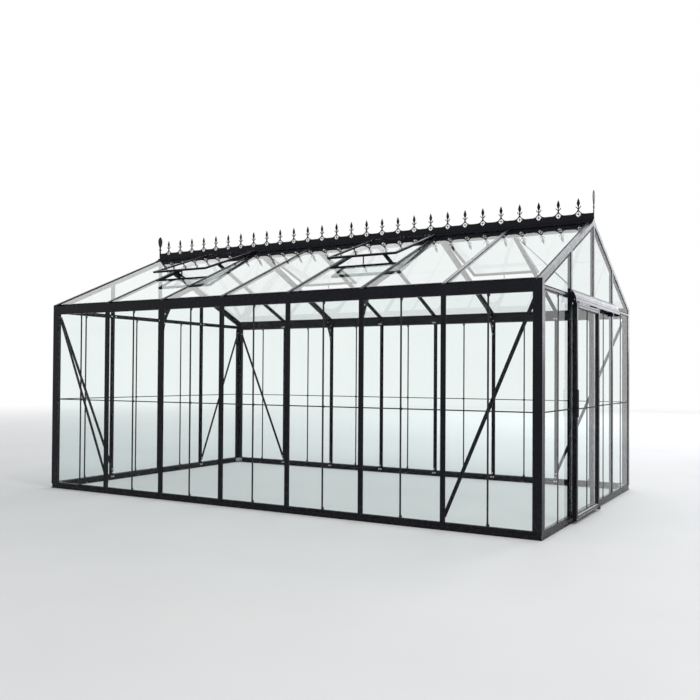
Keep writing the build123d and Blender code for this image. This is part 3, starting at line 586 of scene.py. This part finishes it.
def corner_braces():
    """Flat braces from the head of each corner to the foot of the next post, with a bolt near each end."""
    bars = bmesh.new()
    bolts = bmesh.new()
    bolt_inset = 0.018
    section = rectangle(BRACE_THICKNESS, BRACE_WIDTH, corner=0.0006)
    middle = POST_DEPTH + BRACE_THICKNESS / 2
    for name, top in (("front", GUTTER_BOTTOM), ("back", GUTTER_BOTTOM), ("left", TIE_BOTTOM)):
        wall = WALLS[name]
        edge = (HALF_WIDTH if name in GABLES else HALF_LENGTH) - POST_DEPTH - BRACE_WIDTH
        for s in (-1, 1):
            head = Vector((s * edge, top - BRACE_END_DROP))
            foot = Vector((s * wall.grid[-2], BASE_TOP + BRACE_END_DROP))
            start = wall.point(head.x, middle, head.y)
            add_run(bars, start, wall.point(foot.x, middle, foot.y), -wall.out, section)
            run = (foot - head).normalized()
            for spot in (head + run * bolt_inset, foot - run * bolt_inset):
                turn = wall.inside(spot.x, POST_DEPTH + BRACE_THICKNESS, spot.y)
                add_bolt(bolts, turn, across=0.009)
    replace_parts(finish_piece("corner_braces", bars, COAT), "wall_braces")
    finish_piece("wall_brace_bolts", bolts, ZINC)


# Fittings of the structure

def corner_cleats():
    """Folded angles that tie the base rails together inside each corner, with their bolts."""
    bm = bmesh.new()
    bolts = bmesh.new()
    leg = 0.060
    thick = 0.003
    low, high = BASE_FOOT_THICKNESS, 0.052
    bolt_place = 0.6 * leg
    angle = [(0, 0), (leg, 0), (leg, thick), (thick, thick), (thick, leg), (0, leg)]
    for sx, sy in CORNERS:
        x0 = sx * (HALF_LENGTH - BASE_DEPTH)
        y0 = sy * (HALF_WIDTH - BASE_DEPTH)
        add_prism(bm, Matrix.Identity(4), [(x0 - sx * u, y0 - sy * v) for u, v in angle], low, high)
        z = (low + high) / 2
        add_bolt(bolts, frame_on((x0 - sx * bolt_place, y0 - sy * thick, z), (0, -sy, 0)))
        add_bolt(bolts, frame_on((x0 - sx * thick, y0 - sy * bolt_place, z), (-sx, 0, 0)))
    finish_piece("base_corner_cleats", bm, ZINC)
    finish_piece("base_corner_bolts", bolts, ZINC)


def ground_screws():
    """Screws with wide washers that hold the base rail's foot down, one in the middle of each bay."""
    bm = bmesh.new()
    depth = 0.050
    for name, wall in WALLS.items():
        for i in glazed_bays(name):
            place = wall.point(bay_middle(wall.grid, i), depth, BASE_FOOT_THICKNESS)
            add_bolt(bm, frame_on(place, UP), across=0.009)
    finish_piece("ground_screws", bm, ZINC)


def roof_bar_caps():
    """Moulded caps on the lower ends of the roof bars, over the lip of the gutter."""
    bm = bmesh.new()
    height = 0.0105
    thick = 0.0055
    overlap = 0.003
    outline = rectangle(height, BAR_FACE + overlap, corner=0.0025)
    for side in (-1, 1):
        for x in LONG_GRID[1:-1]:
            place = (x, side * (HALF_WIDTH - BAR_END), EAVE + height / 2)
            add_prism(bm, frame_on(place, (0, side, 0), UP), outline, 0, thick, chamfer=0.0015)
    finish_piece("roof_bar_end_caps", bm, PLASTIC)


def gutter_clips():
    """Clips that hook over each gutter's lip: in the first bay, at the middle and in the last bay."""
    bm = bmesh.new()
    gutter_wall = 0.004
    front = 0.0004
    bite = 0.0005
    thick = 0.0015
    drop = 0.018
    width = 0.028
    outline = [(front, EAVE - bite), (front, EAVE + thick), (gutter_wall + thick, EAVE + thick),
               (gutter_wall + thick, EAVE - drop), (gutter_wall, EAVE - drop), (gutter_wall, EAVE - SINK)]
    for name in ("front", "back"):
        wall = WALLS[name]
        turn = Matrix((wall.out * -1, UP, wall.along)).transposed().to_4x4()
        for x in (LONG_GRID[1] - BAY / 2, 0.0, LONG_GRID[-2] + BAY / 2):
            base = wall.point(x - width / 2, 0, 0)
            add_prism(bm, Matrix.Translation(base) @ turn, outline, 0, width)
    finish_piece("gutter_clips", bm, COAT)


def ridge_cap_screws():
    """Screws through both flanges of the ridge cap, at every roof bar and near both ends."""
    bm = bmesh.new()
    reach = 0.049
    last = HALF_LENGTH - 0.030
    for side in (-1, 1):
        normal = roof_normal(side)
        for x in LONG_GRID:
            x = max(min(x, last), -last)
            place = Vector((x, side * reach, roof_z(reach))) + normal * RIDGE_CAP_THICKNESS
            add_screw(bm, frame_on(place, normal), radius=0.0045)
    finish_piece("ridge_cap_screws", bm, COAT)


def stay_ends():
    """Flattened eyes and bolts at both ends of the round stay under the front slope."""
    bm = bmesh.new()
    foot = Vector((HALF_LENGTH - POST_DEPTH, WIDE_GRID[STAY_INDEX], TIE_TOP + STAY_RISE))
    head = Vector((LONG_GRID[-2] + STAY_SETBACK, 0.0, BEAM_BOTTOM))
    run = (head - foot).normalized()
    foot_inset = 0.006
    head_inset = 0.010
    reach = 0.034
    half = 0.003
    eye = rectangle(reach + 0.010, 0.018, corner=0.005)
    for place, way in ((foot + run * foot_inset, run), (head - run * head_inset, -run)):
        flat = way.cross(way.cross(UP).normalized())
        middle = place + way * reach / 2
        add_prism(bm, frame_on(middle, flat, way), eye, -half, half, chamfer=0.0008)
        for face in (-1, 1):
            normal = flat * face
            add_bolt(bm, frame_on(middle + normal * half, normal), across=0.009)
    finish_piece("gable_stay_eyes", bm, ZINC)


# Glazing rubbers: a thin lip on the outer face of the glass, along the edge of what covers it

LIP = 0.003
LIP_RISE = 0.0024


def lip_outline(hand):
    """Lip as (out from the glass, away from the cover)."""
    return [(-SINK, 0), (LIP_RISE, 0), (0.8 * LIP_RISE, hand * 0.45 * LIP), (0.2 * LIP_RISE, hand * LIP),
            (-SINK, hand * LIP)]


def wall_lip(bm, wall, start, end, hand):
    """A lip on a wall's glass from one (along, height) to another; hand is the side its cover isn't on."""
    first, last = (wall.point(a, GLASS_OUTER, z) for a, z in (start, end))
    add_run(bm, first, last, wall.out, lip_outline(hand))


def glazing_lips(name):
    """Lips round the panes of a wall: along the posts, the base rail, and the gutter or the gable tie."""
    bm = bmesh.new()
    wall = WALLS[name]
    top = TIE_CAP_LOW if name in GABLES else GUTTER_BOTTOM
    for i in glazed_bays(name):
        a0, a1 = wall.grid[i] + POST_FACE / 2, wall.grid[i + 1] - POST_FACE / 2
        wall_lip(bm, wall, (a0, BASE_TOP), (a0, top), 1)
        wall_lip(bm, wall, (a1, BASE_TOP), (a1, top), -1)
        middle = bay_middle(wall.grid, i)
        for b0, b1 in ((a0, middle - STRIP_WIDTH / 2), (middle + STRIP_WIDTH / 2, a1)):
            wall_lip(bm, wall, (b0, BASE_TOP), (b1, BASE_TOP), -1)
            wall_lip(bm, wall, (b0, top), (b1, top), 1)
    finish_piece(name + "_glazing_lips", bm, RUBBER)


def gable_head_lips(name):
    """Lips round the panes above a gable's tie."""
    bm = bmesh.new()
    wall = WALLS[name]
    for i in range(BAYS_WIDE):
        a0, a1 = bay_edges(wall.grid, i, POST_FACE, HALF_WIDTH - GUTTER_DEPTH)
        z0, z1 = roof_z(a0, VERGE_FACE), roof_z(a1, VERGE_FACE)
        wall_lip(bm, wall, (a0, TIE_CAP_HIGH), (a0, z0), 1)
        wall_lip(bm, wall, (a1, TIE_CAP_HIGH), (a1, z1), -1)
        wall_lip(bm, wall, (a0, TIE_CAP_HIGH), (a1, TIE_CAP_HIGH), -1)
        wall_lip(bm, wall, (a0, z0), (a1, z1), 1)
    finish_piece(name + "_head_lips", bm, RUBBER)


def roof_lips(side):
    """Lips along the roof bars of a slope, from the eave to the ridge cap or a vent's rail."""
    bm = bmesh.new()
    normal = roof_normal(side)
    for i in range(BAYS_LONG):
        end = HALF_WIDTH - (VENT_LENGTH if i in VENT_INDEX[side] else RIDGE_CAP_REACH)
        for x, hand in zip(bay_edges(LONG_GRID, i, BAR_FACE, HALF_LENGTH - VERGE_CAP), (1, -1)):
            start = roof_point(side, x, ROOF_GLASS_END, GLASS_OUTER)
            add_run(bm, start, roof_point(side, x, end, GLASS_OUTER), normal, lip_outline(side * hand))
    name = "roof_glazing_lips_" + ("front" if side < 0 else "back")
    finish_piece(name, bm, RUBBER)


def pane_clips():
    """Small clips inside the room that hold the panes to the mid bars, at foot, joint and head."""
    bm = bmesh.new()
    depth = 0.011
    thick = 0.004
    end = 0.012
    outline = rectangle(0.020, 0.026, corner=0.004)
    for name, wall in WALLS.items():
        top = TIE_BOTTOM if name in GABLES else GUTTER_BOTTOM
        for i in glazed_bays(name):
            for z in (BASE_TOP + end, JOINT_HEIGHT, top - end):
                turn = wall.inside(bay_middle(wall.grid, i), depth, z)
                add_prism(bm, turn, outline, 0, thick, chamfer=0.0012)
    finish_piece("pane_clips", bm, PLASTIC)


# Ridge decoration

CREST_COUNT = BAYS_LONG * CREST_PER_BAY
CREST_PLACES = [LONG_GRID[0] + (k + 0.5) * BAY / CREST_PER_BAY for k in range(CREST_COUNT)]


def crest_buttons():
    """Domed buttons on both faces of the cresting: in each diamond and where the petals cross."""
    bm = bmesh.new()
    for side in (-1, 1):
        for x in CREST_PLACES:
            for z, r in ((CREST_DIAMOND_CENTRE, 0.0065), (CREST_CROSSING, 0.0050)):
                turn = frame_on((x, side * CREST_THICKNESS / 2, FIN_TOP + z), (0, side, 0))
                add_lathe(bm, turn, [(r, -DEEP_SINK), (0.95 * r, 0.12 * r), (0.75 * r, 0.42 * r),
                                     (0.42 * r, 0.62 * r), (0.12 * r, 0.68 * r)], steps=14)
    finish_piece("cresting_buttons", bm, COAT, crease=60)


def crest_ribs():
    """Raised frame round each diamond and a rib up each spear head, on both faces."""
    bm = bmesh.new()
    inner, outer = 0.0275, 0.0315
    proud = 0.0012
    rib_foot = 0.104
    rib_length = 0.066
    rib_half = 0.0016
    for side in (-1, 1):
        face = side * CREST_THICKNESS / 2
        for x in CREST_PLACES:
            turn = frame_on((x, face, FIN_TOP + CREST_DIAMOND_CENTRE), (0, side, 0), UP)
            for k in range(4):
                a0, a1 = k * pi / 2, (k + 1) * pi / 2
                ends = ((inner, a0), (outer, a0), (outer, a1), (inner, a1))
                bar = [(r * cos(a), r * sin(a)) for r, a in ends]
                add_prism(bm, turn, bar, -DEEP_SINK, proud)
            foot = Vector((x, face, FIN_TOP + rib_foot))
            rib = [(0, rib_half), (proud, 0), (0, -rib_half)]
            add_run(bm, foot, foot + UP * rib_length, Vector((0, side, 0)), rib)
    finish_piece("cresting_ribs", bm, COAT)


def finial_ribs():
    """A rib up the middle of each gable finial and a round boss at its collar, on faces with room."""
    bm = bmesh.new()
    rib_foot = 0.118
    rib_length = 0.108
    boss_height = 0.092
    r = 0.0085
    rib = [(-SINK, 0.0030), (0.0016, 0.0012), (0.0016, -0.0012), (-SINK, -0.0030)]
    boss = [(r, -DEEP_SINK), (0.94 * r, 0.1 * r), (0.7 * r, 0.28 * r), (0.3 * r, 0.34 * r)]
    inner = HALF_LENGTH - FINIAL_THICKNESS
    for x, way in ((-inner, 1), (inner, -1), (HALF_LENGTH, 1)):
        foot = Vector((x, 0, FIN_TOP + rib_foot))
        add_run(bm, foot, foot + UP * rib_length, Vector((way, 0, 0)), rib)
        add_lathe(bm, frame_on((x, 0, FIN_TOP + boss_height), (way, 0, 0)), boss, steps=20)
    finish_piece("finial_ribs", bm, COAT, crease=50)


# Roof vents

VENTS = [(side, i) for side in (-1, 1) for i in VENT_INDEX[side]]
HINGES = (-0.27, 0.0, 0.27)
HINGE_PLATE = 0.0018
HINGE_REACH = RIDGE_CAP_REACH + SASH_GAP
SASH_LENGTH = (VENT_LENGTH - HINGE_REACH) / cos(PITCH)
SASH_WIDTH = BAY - 2 * SASH_GAP


def sash_frame(side, i):
    """Frame on a sash: X along the hinge, Y down the slope, Z out of the roof."""
    a = PITCH - VENT_ANGLE
    hinge = Vector((bay_middle(LONG_GRID, i), side * HINGE_REACH, roof_z(HINGE_REACH)))
    down = Vector((0, side * cos(a), -sin(a)))
    out = Vector((0, side * sin(a), cos(a)))
    return Matrix.Translation(hinge) @ Matrix((down.cross(out), down, out)).transposed().to_4x4()


def vent_hinges():
    """Three knuckles with plates along the top of each sash."""
    bm = bmesh.new()
    half = 0.030
    axis_down = 0.001
    axis_height = SASH_HEIGHT + 0.002
    plate_down = 0.014
    plate = rectangle(0.056, 0.022, corner=0.003)
    for side, i in VENTS:
        turn = sash_frame(side, i)
        for u in HINGES:
            start, end = (turn @ Vector((u + shift, axis_down, axis_height)) for shift in (-half, half))
            add_bar(bm, start, end, radius=0.0045)
            place = turn @ Matrix.Translation((u, plate_down, SASH_HEIGHT))
            add_prism(bm, place, plate, -SINK, HINGE_PLATE, chamfer=0.0005)
    finish_piece("vent_hinges", bm, COAT)


def vent_screws():
    """Screws at the corners of each sash and in its hinge plates."""
    bm = bmesh.new()
    spread = 0.018
    plate_screw_down = 0.016
    for side, i in VENTS:
        turn = sash_frame(side, i)
        for su in (-1, 1):
            for v in (SASH_RAIL / 2, SASH_LENGTH - SASH_RAIL / 2):
                spot = Matrix.Translation((su * (SASH_WIDTH - SASH_RAIL) / 2, v, SASH_HEIGHT))
                add_screw(bm, turn @ spot, radius=0.0038)
        for u in HINGES:
            for shift in (-spread, spread):
                spot = Matrix.Translation((u + shift, plate_screw_down, SASH_HEIGHT + HINGE_PLATE))
                add_screw(bm, turn @ spot, radius=0.003)
    finish_piece("vent_screws", bm, ZINC)


def vent_lips():
    """Rubber lips round the pane of each sash."""
    bm = bmesh.new()
    z = (SASH_HEIGHT + SASH_GLASS) / 2
    w = SASH_WIDTH / 2 - SASH_RAIL
    v0, v1 = SASH_RAIL, SASH_LENGTH - SASH_RAIL
    for side, i in VENTS:
        turn = sash_frame(side, i)
        corners = [turn @ Vector((u, v, z)) for u, v in ((-w, v0), (w, v0), (w, v1), (-w, v1))]
        add_loop(bm, corners, turn.to_3x3() @ UP, lip_outline(1))
    finish_piece("vent_glazing_lips", bm, RUBBER)


def vent_sill_covers():
    """A folded cover over the upper edge of the pane below each sash, standing up in front of the sash."""
    bm = bmesh.new()
    fold = [(-SINK, -0.004), (0.0018, -0.004), (0.0018, 0.0010), (0.0086, 0.0010), (0.0095, 0.0021),
            (0.0086, 0.0032), (0.0018, 0.0036), (0.0014, 0.0150), (-SINK, 0.0156)]
    for side, i in VENTS:
        start = roof_point(side, LONG_GRID[i] + BAR_FACE / 2 + LIP, HALF_WIDTH - VENT_LENGTH, GLASS_OUTER)
        end = start + Vector((BAY - BAR_FACE - 2 * LIP, 0, 0))
        add_run(bm, start, end, roof_normal(side), [(out, -side * down) for out, down in fold])
    finish_piece("vent_sill_covers", bm, COAT)


def vent_stay_fittings():
    """Two cheeks on the rail and two pins for each stay."""
    bm = bmesh.new()
    inward = HALF_WIDTH - (2 * VENT_LENGTH - VENT_RAIL_WIDTH) / 2
    cheek = rectangle(0.014, 0.022, corner=0.003)
    cheek_rise = 0.007
    half = 0.0015
    spread = 0.0045
    for side, i in VENTS:
        foot = roof_point(side, bay_middle(LONG_GRID, i), inward, GLASS_OUTER)
        for shift in (-spread, spread):
            turn = frame_on(foot + Vector((shift, 0, cheek_rise)), (1, 0, 0), UP)
            add_prism(bm, turn, cheek, -half, half, chamfer=0.0004)
        for rise, reach, radius in ((0.008, 0.011, 0.0028), (0.038, 0.007, 0.0024)):
            pin = foot + UP * rise
            add_bar(bm, pin - Vector((reach, 0, 0)), pin + Vector((reach, 0, 0)), radius)
    finish_piece("vent_stay_fittings", bm, ZINC)


# Sliding door

LEAF_LOW, LEAF_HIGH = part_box("door_stiles")
ROLL_LOW, ROLL_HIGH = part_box("door_rollers")


def door_piece(name, bm, material):
    """Makes a piece that rides on the leaf."""
    finish_piece(name, bm, material, "sliding_door")


def door_screws():
    """Two screws at each corner of the leaf, on both faces, and two in the grip."""
    bm = bmesh.new()
    near, far = 0.012, 0.034
    for x, way in ((LEAF_HIGH.x, 1), (LEAF_LOW.x, -1)):
        for y in (LEAF_LOW.y + near, LEAF_LOW.y + far, LEAF_HIGH.y - near, LEAF_HIGH.y - far):
            for z in (LEAF_LOW.z + near, LEAF_HIGH.z - near):
                add_screw(bm, frame_on((x, y, z), (way, 0, 0)), radius=0.0036)
    grip_low, grip_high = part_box("door_handle")
    flange = 0.003
    flange_middle = 0.0095
    end = 0.020
    for z in (grip_low.z + end, grip_high.z - end):
        place = (grip_low.x + flange, grip_low.y + flange_middle, z)
        add_screw(bm, frame_on(place, (1, 0, 0)), radius=0.003)
    door_piece("door_screws", bm, ZINC)


def door_lips():
    """Rubber lips round the glass of the leaf, on both faces."""
    bm = bmesh.new()
    glass_low, glass_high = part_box("door_glass")
    y0, y1 = LEAF_LOW.y + DOOR_STILE, LEAF_HIGH.y - DOOR_STILE
    z0, z1 = LEAF_LOW.z + DOOR_RAIL, LEAF_HIGH.z - DOOR_RAIL
    for x, way in ((glass_high.x, 1), (glass_low.x, -1)):
        corners = [Vector((x, y, z)) for y, z in ((y0, z0), (y1, z0), (y1, z1), (y0, z1))]
        add_loop(bm, corners, Vector((way, 0, 0)), lip_outline(-way))
    door_piece("door_glazing_lips", bm, RUBBER)


def door_brushes():
    """Brush seals on the inner face of both stiles: a carrier and a row of leaning tufts."""
    carrier = bmesh.new()
    pile = bmesh.new()
    random = Random(SEED)
    foot_gap = 0.030
    head_gap = 0.010
    z0, z1 = LEAF_LOW.z + foot_gap, LEAF_HIGH.z - head_gap
    step = 0.003
    reach = 0.007
    inset = 0.012
    root_depth = 0.0018
    sideways, upwards = 0.12, 0.18
    section = [(-SINK, 0.004), (0.002, 0.003), (0.002, -0.003), (-SINK, -0.004)]
    tuft = [(0.0018, 0), (0.0016, 0.6 * reach), (0.0009, 0.75 * reach)]
    for y in (LEAF_LOW.y + inset, LEAF_HIGH.y - inset):
        foot, head = (Vector((LEAF_LOW.x, y, z)) for z in (z0, z1))
        add_run(carrier, foot, head, Vector((-1, 0, 0)), section)
        for k in range(int((z1 - z0 - step) / step)):
            root = Vector((LEAF_LOW.x - root_depth, y, z0 + (k + 0.5) * step))
            lean = Vector((-1, random.uniform(-sideways, sideways), random.uniform(-upwards, upwards)))
            add_lathe(pile, frame_on(root, lean), tuft, steps=5)
    door_piece("door_brush_carriers", carrier, PLASTIC)
    door_piece("door_brush_pile", pile, PILE)


def roller_fittings():
    """Axle with nut for each roller, and a foot with two screws that holds each hanger to the leaf."""
    bm = bmesh.new()
    feet = bmesh.new()
    hang_low, hang_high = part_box("door_hangers")
    z = (ROLL_LOW.z + ROLL_HIGH.z) / 2
    axle_inner, axle_outer = ROLL_LOW.x - 0.003, hang_high.x + 0.0005
    foot_x = hang_high.x + 0.006
    screw_x = hang_high.x + 0.007
    thick = 0.0025
    spread = 0.012
    outline = rectangle(0.012, 0.040, corner=0.002)
    for y in (LEAF_LOW.y + ROLLER_INSET, LEAF_HIGH.y - ROLLER_INSET):
        add_bar(bm, Vector((axle_inner, y, z)), Vector((axle_outer, y, z)), radius=0.003)
        add_screw(bm, frame_on((hang_high.x, y, z), (1, 0, 0)), radius=0.0055)
        add_prism(feet, frame_on((foot_x, y, hang_low.z), UP), outline, 0, thick, chamfer=0.0006)
        for shift in (-spread, spread):
            turn = frame_on((screw_x, y + shift, hang_low.z + thick), UP)
            add_screw(bm, turn, radius=0.0035)
    door_piece("roller_axles", bm, ZINC)
    door_piece("hanger_feet", feet, COAT)


def track_fittings():
    """Screws in the track's end plates and rubber stops on the running lip at both ends of the travel."""
    bm = bmesh.new()
    stops = bmesh.new()
    end_low, end_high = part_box("door_track_ends")
    near, far = 0.012, 0.040
    inset = 0.026
    for y, way in ((end_low.y, -1), (end_high.y, 1)):
        for x, z in ((end_low.x + near, end_high.z - inset), (end_low.x + far, end_low.z + inset)):
            add_screw(bm, frame_on((x, y, z), (0, way, 0)), radius=0.0034)
    finish_piece("track_end_screws", bm, ZINC)
    travel = frame["joints"][0]["range_m"][1]
    gap = 0.005
    length = 0.012
    lip_in_roller = 0.0017
    lip_x = (ROLL_LOW.x + ROLL_HIGH.x) / 2
    lip_top = ROLL_LOW.z + lip_in_roller
    saddle = [(-0.007, -0.005), (-0.002, -0.005), (-0.002, 0), (0.002, 0), (0.002, -0.005), (0.007, -0.005),
              (0.007, 0.012), (0.004, 0.015), (-0.004, 0.015), (-0.007, 0.012)]
    outline = [(lip_x + u, lip_top + v) for u, v in saddle]
    turn = Matrix(((1, 0, 0, 0), (0, 0, 1, 0), (0, 1, 0, 0), (0, 0, 0, 1)))
    for y in (ROLL_LOW.y - gap - length, ROLL_HIGH.y + travel + gap):
        add_prism(stops, Matrix.Translation((0, y, 0)) @ turn, outline, 0, length)
    finish_piece("door_stops", stops, RUBBER)


for build in (post_foot_bolts, post_head_bolts, verge_bolts, verge_cords, ridge_beam_bolts, knee_bolts,
              corner_braces, corner_cleats, ground_screws, roof_bar_caps, gutter_clips, ridge_cap_screws,
              stay_ends):
    build()
for wall_name in WALLS:
    glazing_lips(wall_name)
for gable_name in GABLES:
    gable_head_lips(gable_name)
for slope_side in (-1, 1):
    roof_lips(slope_side)
for build in (pane_clips, crest_buttons, crest_ribs, finial_ribs, vent_hinges, vent_screws, vent_lips,
              vent_sill_covers, vent_stay_fittings, door_screws, door_lips, door_brushes, roller_fittings,
              track_fittings):
    build()


# Stage, light and camera

WHITE = (1.0, 1.0, 1.0, 1)


def background_rays(tree):
    """1 for rays that show the background: from the camera, off a gloss or through glass."""
    path = tree.add("ShaderNodeLightPath").outputs
    seen = tree.math("MAXIMUM", path["Is Camera Ray"], path["Is Glossy Ray"])
    return tree.math("MAXIMUM", seen, path["Is Transmission Ray"])


def pale_floor():
    """Wide pale disc that fades into the white background far from the building."""
    fade_start = 5.0
    fade_end = 26.0
    bm = bmesh.new()
    bmesh.ops.create_circle(bm, cap_ends=True, segments=96, radius=90.0)
    mesh = bpy.data.meshes.new("floor")
    bm.to_mesh(mesh)
    bm.free()
    floor = bpy.data.objects.new("floor", mesh)
    bpy.context.scene.collection.objects.link(floor)
    material, tree, shader, output = new_material("pale_floor")
    tone = tree.ramp(tree.noise(0.8), (0.70, 0.70, 0.69), (0.73, 0.73, 0.72))
    tree.link(tone, shader.inputs["Base Color"])
    shader.inputs["Roughness"].default_value = 0.85
    shader.inputs["Specular IOR Level"].default_value = 0.1
    distance = tree.add("ShaderNodeVectorMath", operation="LENGTH")
    tree.link(tree.place(), distance.inputs[0])
    fade = tree.add("ShaderNodeMapRange", interpolation_type="SMOOTHSTEP")
    fade.inputs["From Min"].default_value = fade_start
    fade.inputs["From Max"].default_value = fade_end
    tree.link(distance.outputs["Value"], fade.inputs["Value"])
    share = tree.math("MULTIPLY", fade.outputs["Result"], background_rays(tree))
    glow = tree.add("ShaderNodeEmission")
    glow.inputs["Color"].default_value = WHITE
    glow.inputs["Strength"].default_value = 1.0
    mix = tree.mix_shaders(share, shader.outputs["BSDF"], glow.outputs["Emission"])
    tree.link(mix, output.inputs["Surface"])
    mesh.materials.append(material)


def studio_world():
    """Soft neutral light all round, shown as white behind the building."""
    world = bpy.data.worlds.new("studio")
    bpy.context.scene.world = world
    world.use_nodes = True
    tree = Nodes(world.node_tree)
    output = tree.add("ShaderNodeOutputWorld")
    light = tree.add("ShaderNodeBackground")
    light.inputs["Color"].default_value = (0.97, 0.98, 1.0, 1)
    light.inputs["Strength"].default_value = 0.62
    shown = tree.add("ShaderNodeBackground")
    shown.inputs["Color"].default_value = WHITE
    shown.inputs["Strength"].default_value = 1.0
    mix = tree.mix_shaders(background_rays(tree), light.outputs["Background"], shown.outputs["Background"])
    tree.link(mix, output.inputs["Surface"])


def soft_lamp(name, place, target, width, height, radiance, colour=(1, 1, 1)):
    """A softbox of about the given brightness, which only lights and shines, and isn't seen itself."""
    lamp = bpy.data.lights.new(name, "AREA")
    lamp.shape = "RECTANGLE"
    lamp.size = width
    lamp.size_y = height
    lamp.energy = radiance * pi * width * height
    lamp.color = colour
    made = bpy.data.objects.new(name, lamp)
    bpy.context.scene.collection.objects.link(made)
    made.visible_camera = False
    made.visible_transmission = False
    made.matrix_world = frame_on(place, Vector(place) - Vector(target), (1, 0, 0))
    return made


def leave_out_glass(lamp):
    """Keeps a lamp off the panes, which would mirror it whole."""
    panes = bpy.data.collections.new("panes_without_" + lamp.name)
    for part in frame["record"]["subparts"]:
        if part["material_slot"] == "clear_glass":
            panes.objects.link(nodes[part["node"]])
    lamp.light_linking.receiver_collection = panes
    for pane in panes.collection_objects:
        pane.light_linking.link_state = "EXCLUDE"


def photo_camera():
    """The photograph's camera, found by fitting the building's straight lines."""
    place = Vector((4.2625, -6.9315, 1.1557))
    yaw, pitch, roll = radians(29.0523), radians(0.899), radians(0.3344)
    look = Vector((-sin(yaw) * cos(pitch), cos(yaw) * cos(pitch), sin(pitch)))
    right = Vector((cos(yaw), sin(yaw), 0))
    up = right.cross(look)
    turned_right = right * cos(roll) + up * sin(roll)
    turned_up = up * cos(roll) - right * sin(roll)
    data = bpy.data.cameras.new("photo_camera")
    data.sensor_width = 36.0
    data.lens = 40.5397
    data.shift_x = -0.04
    data.shift_y = 0.02
    data.clip_start = 0.05
    data.clip_end = 400.0
    camera = bpy.data.objects.new("photo_camera", data)
    bpy.context.scene.collection.objects.link(camera)
    turn = Matrix((turned_right, turned_up, -look)).transposed().to_4x4()
    camera.matrix_world = Matrix.Translation(place) @ turn
    bpy.context.scene.camera = camera


pale_floor()
studio_world()
key_light = soft_lamp("key_light", place=(9.0, -4.0, 9.0), target=(0, 0, 1.2),
                      width=5.0, height=5.0, radiance=6.0)
back_light = soft_lamp("back_light", place=(2.0, 16.0, 10.5), target=(1.5, 0, 2.0),
                       width=20.0, height=19.0, radiance=2.6, colour=(0.91, 0.94, 1.0))
leave_out_glass(key_light)
leave_out_glass(back_light)
photo_camera()
bpy.context.scene.view_settings.view_transform = "Standard"
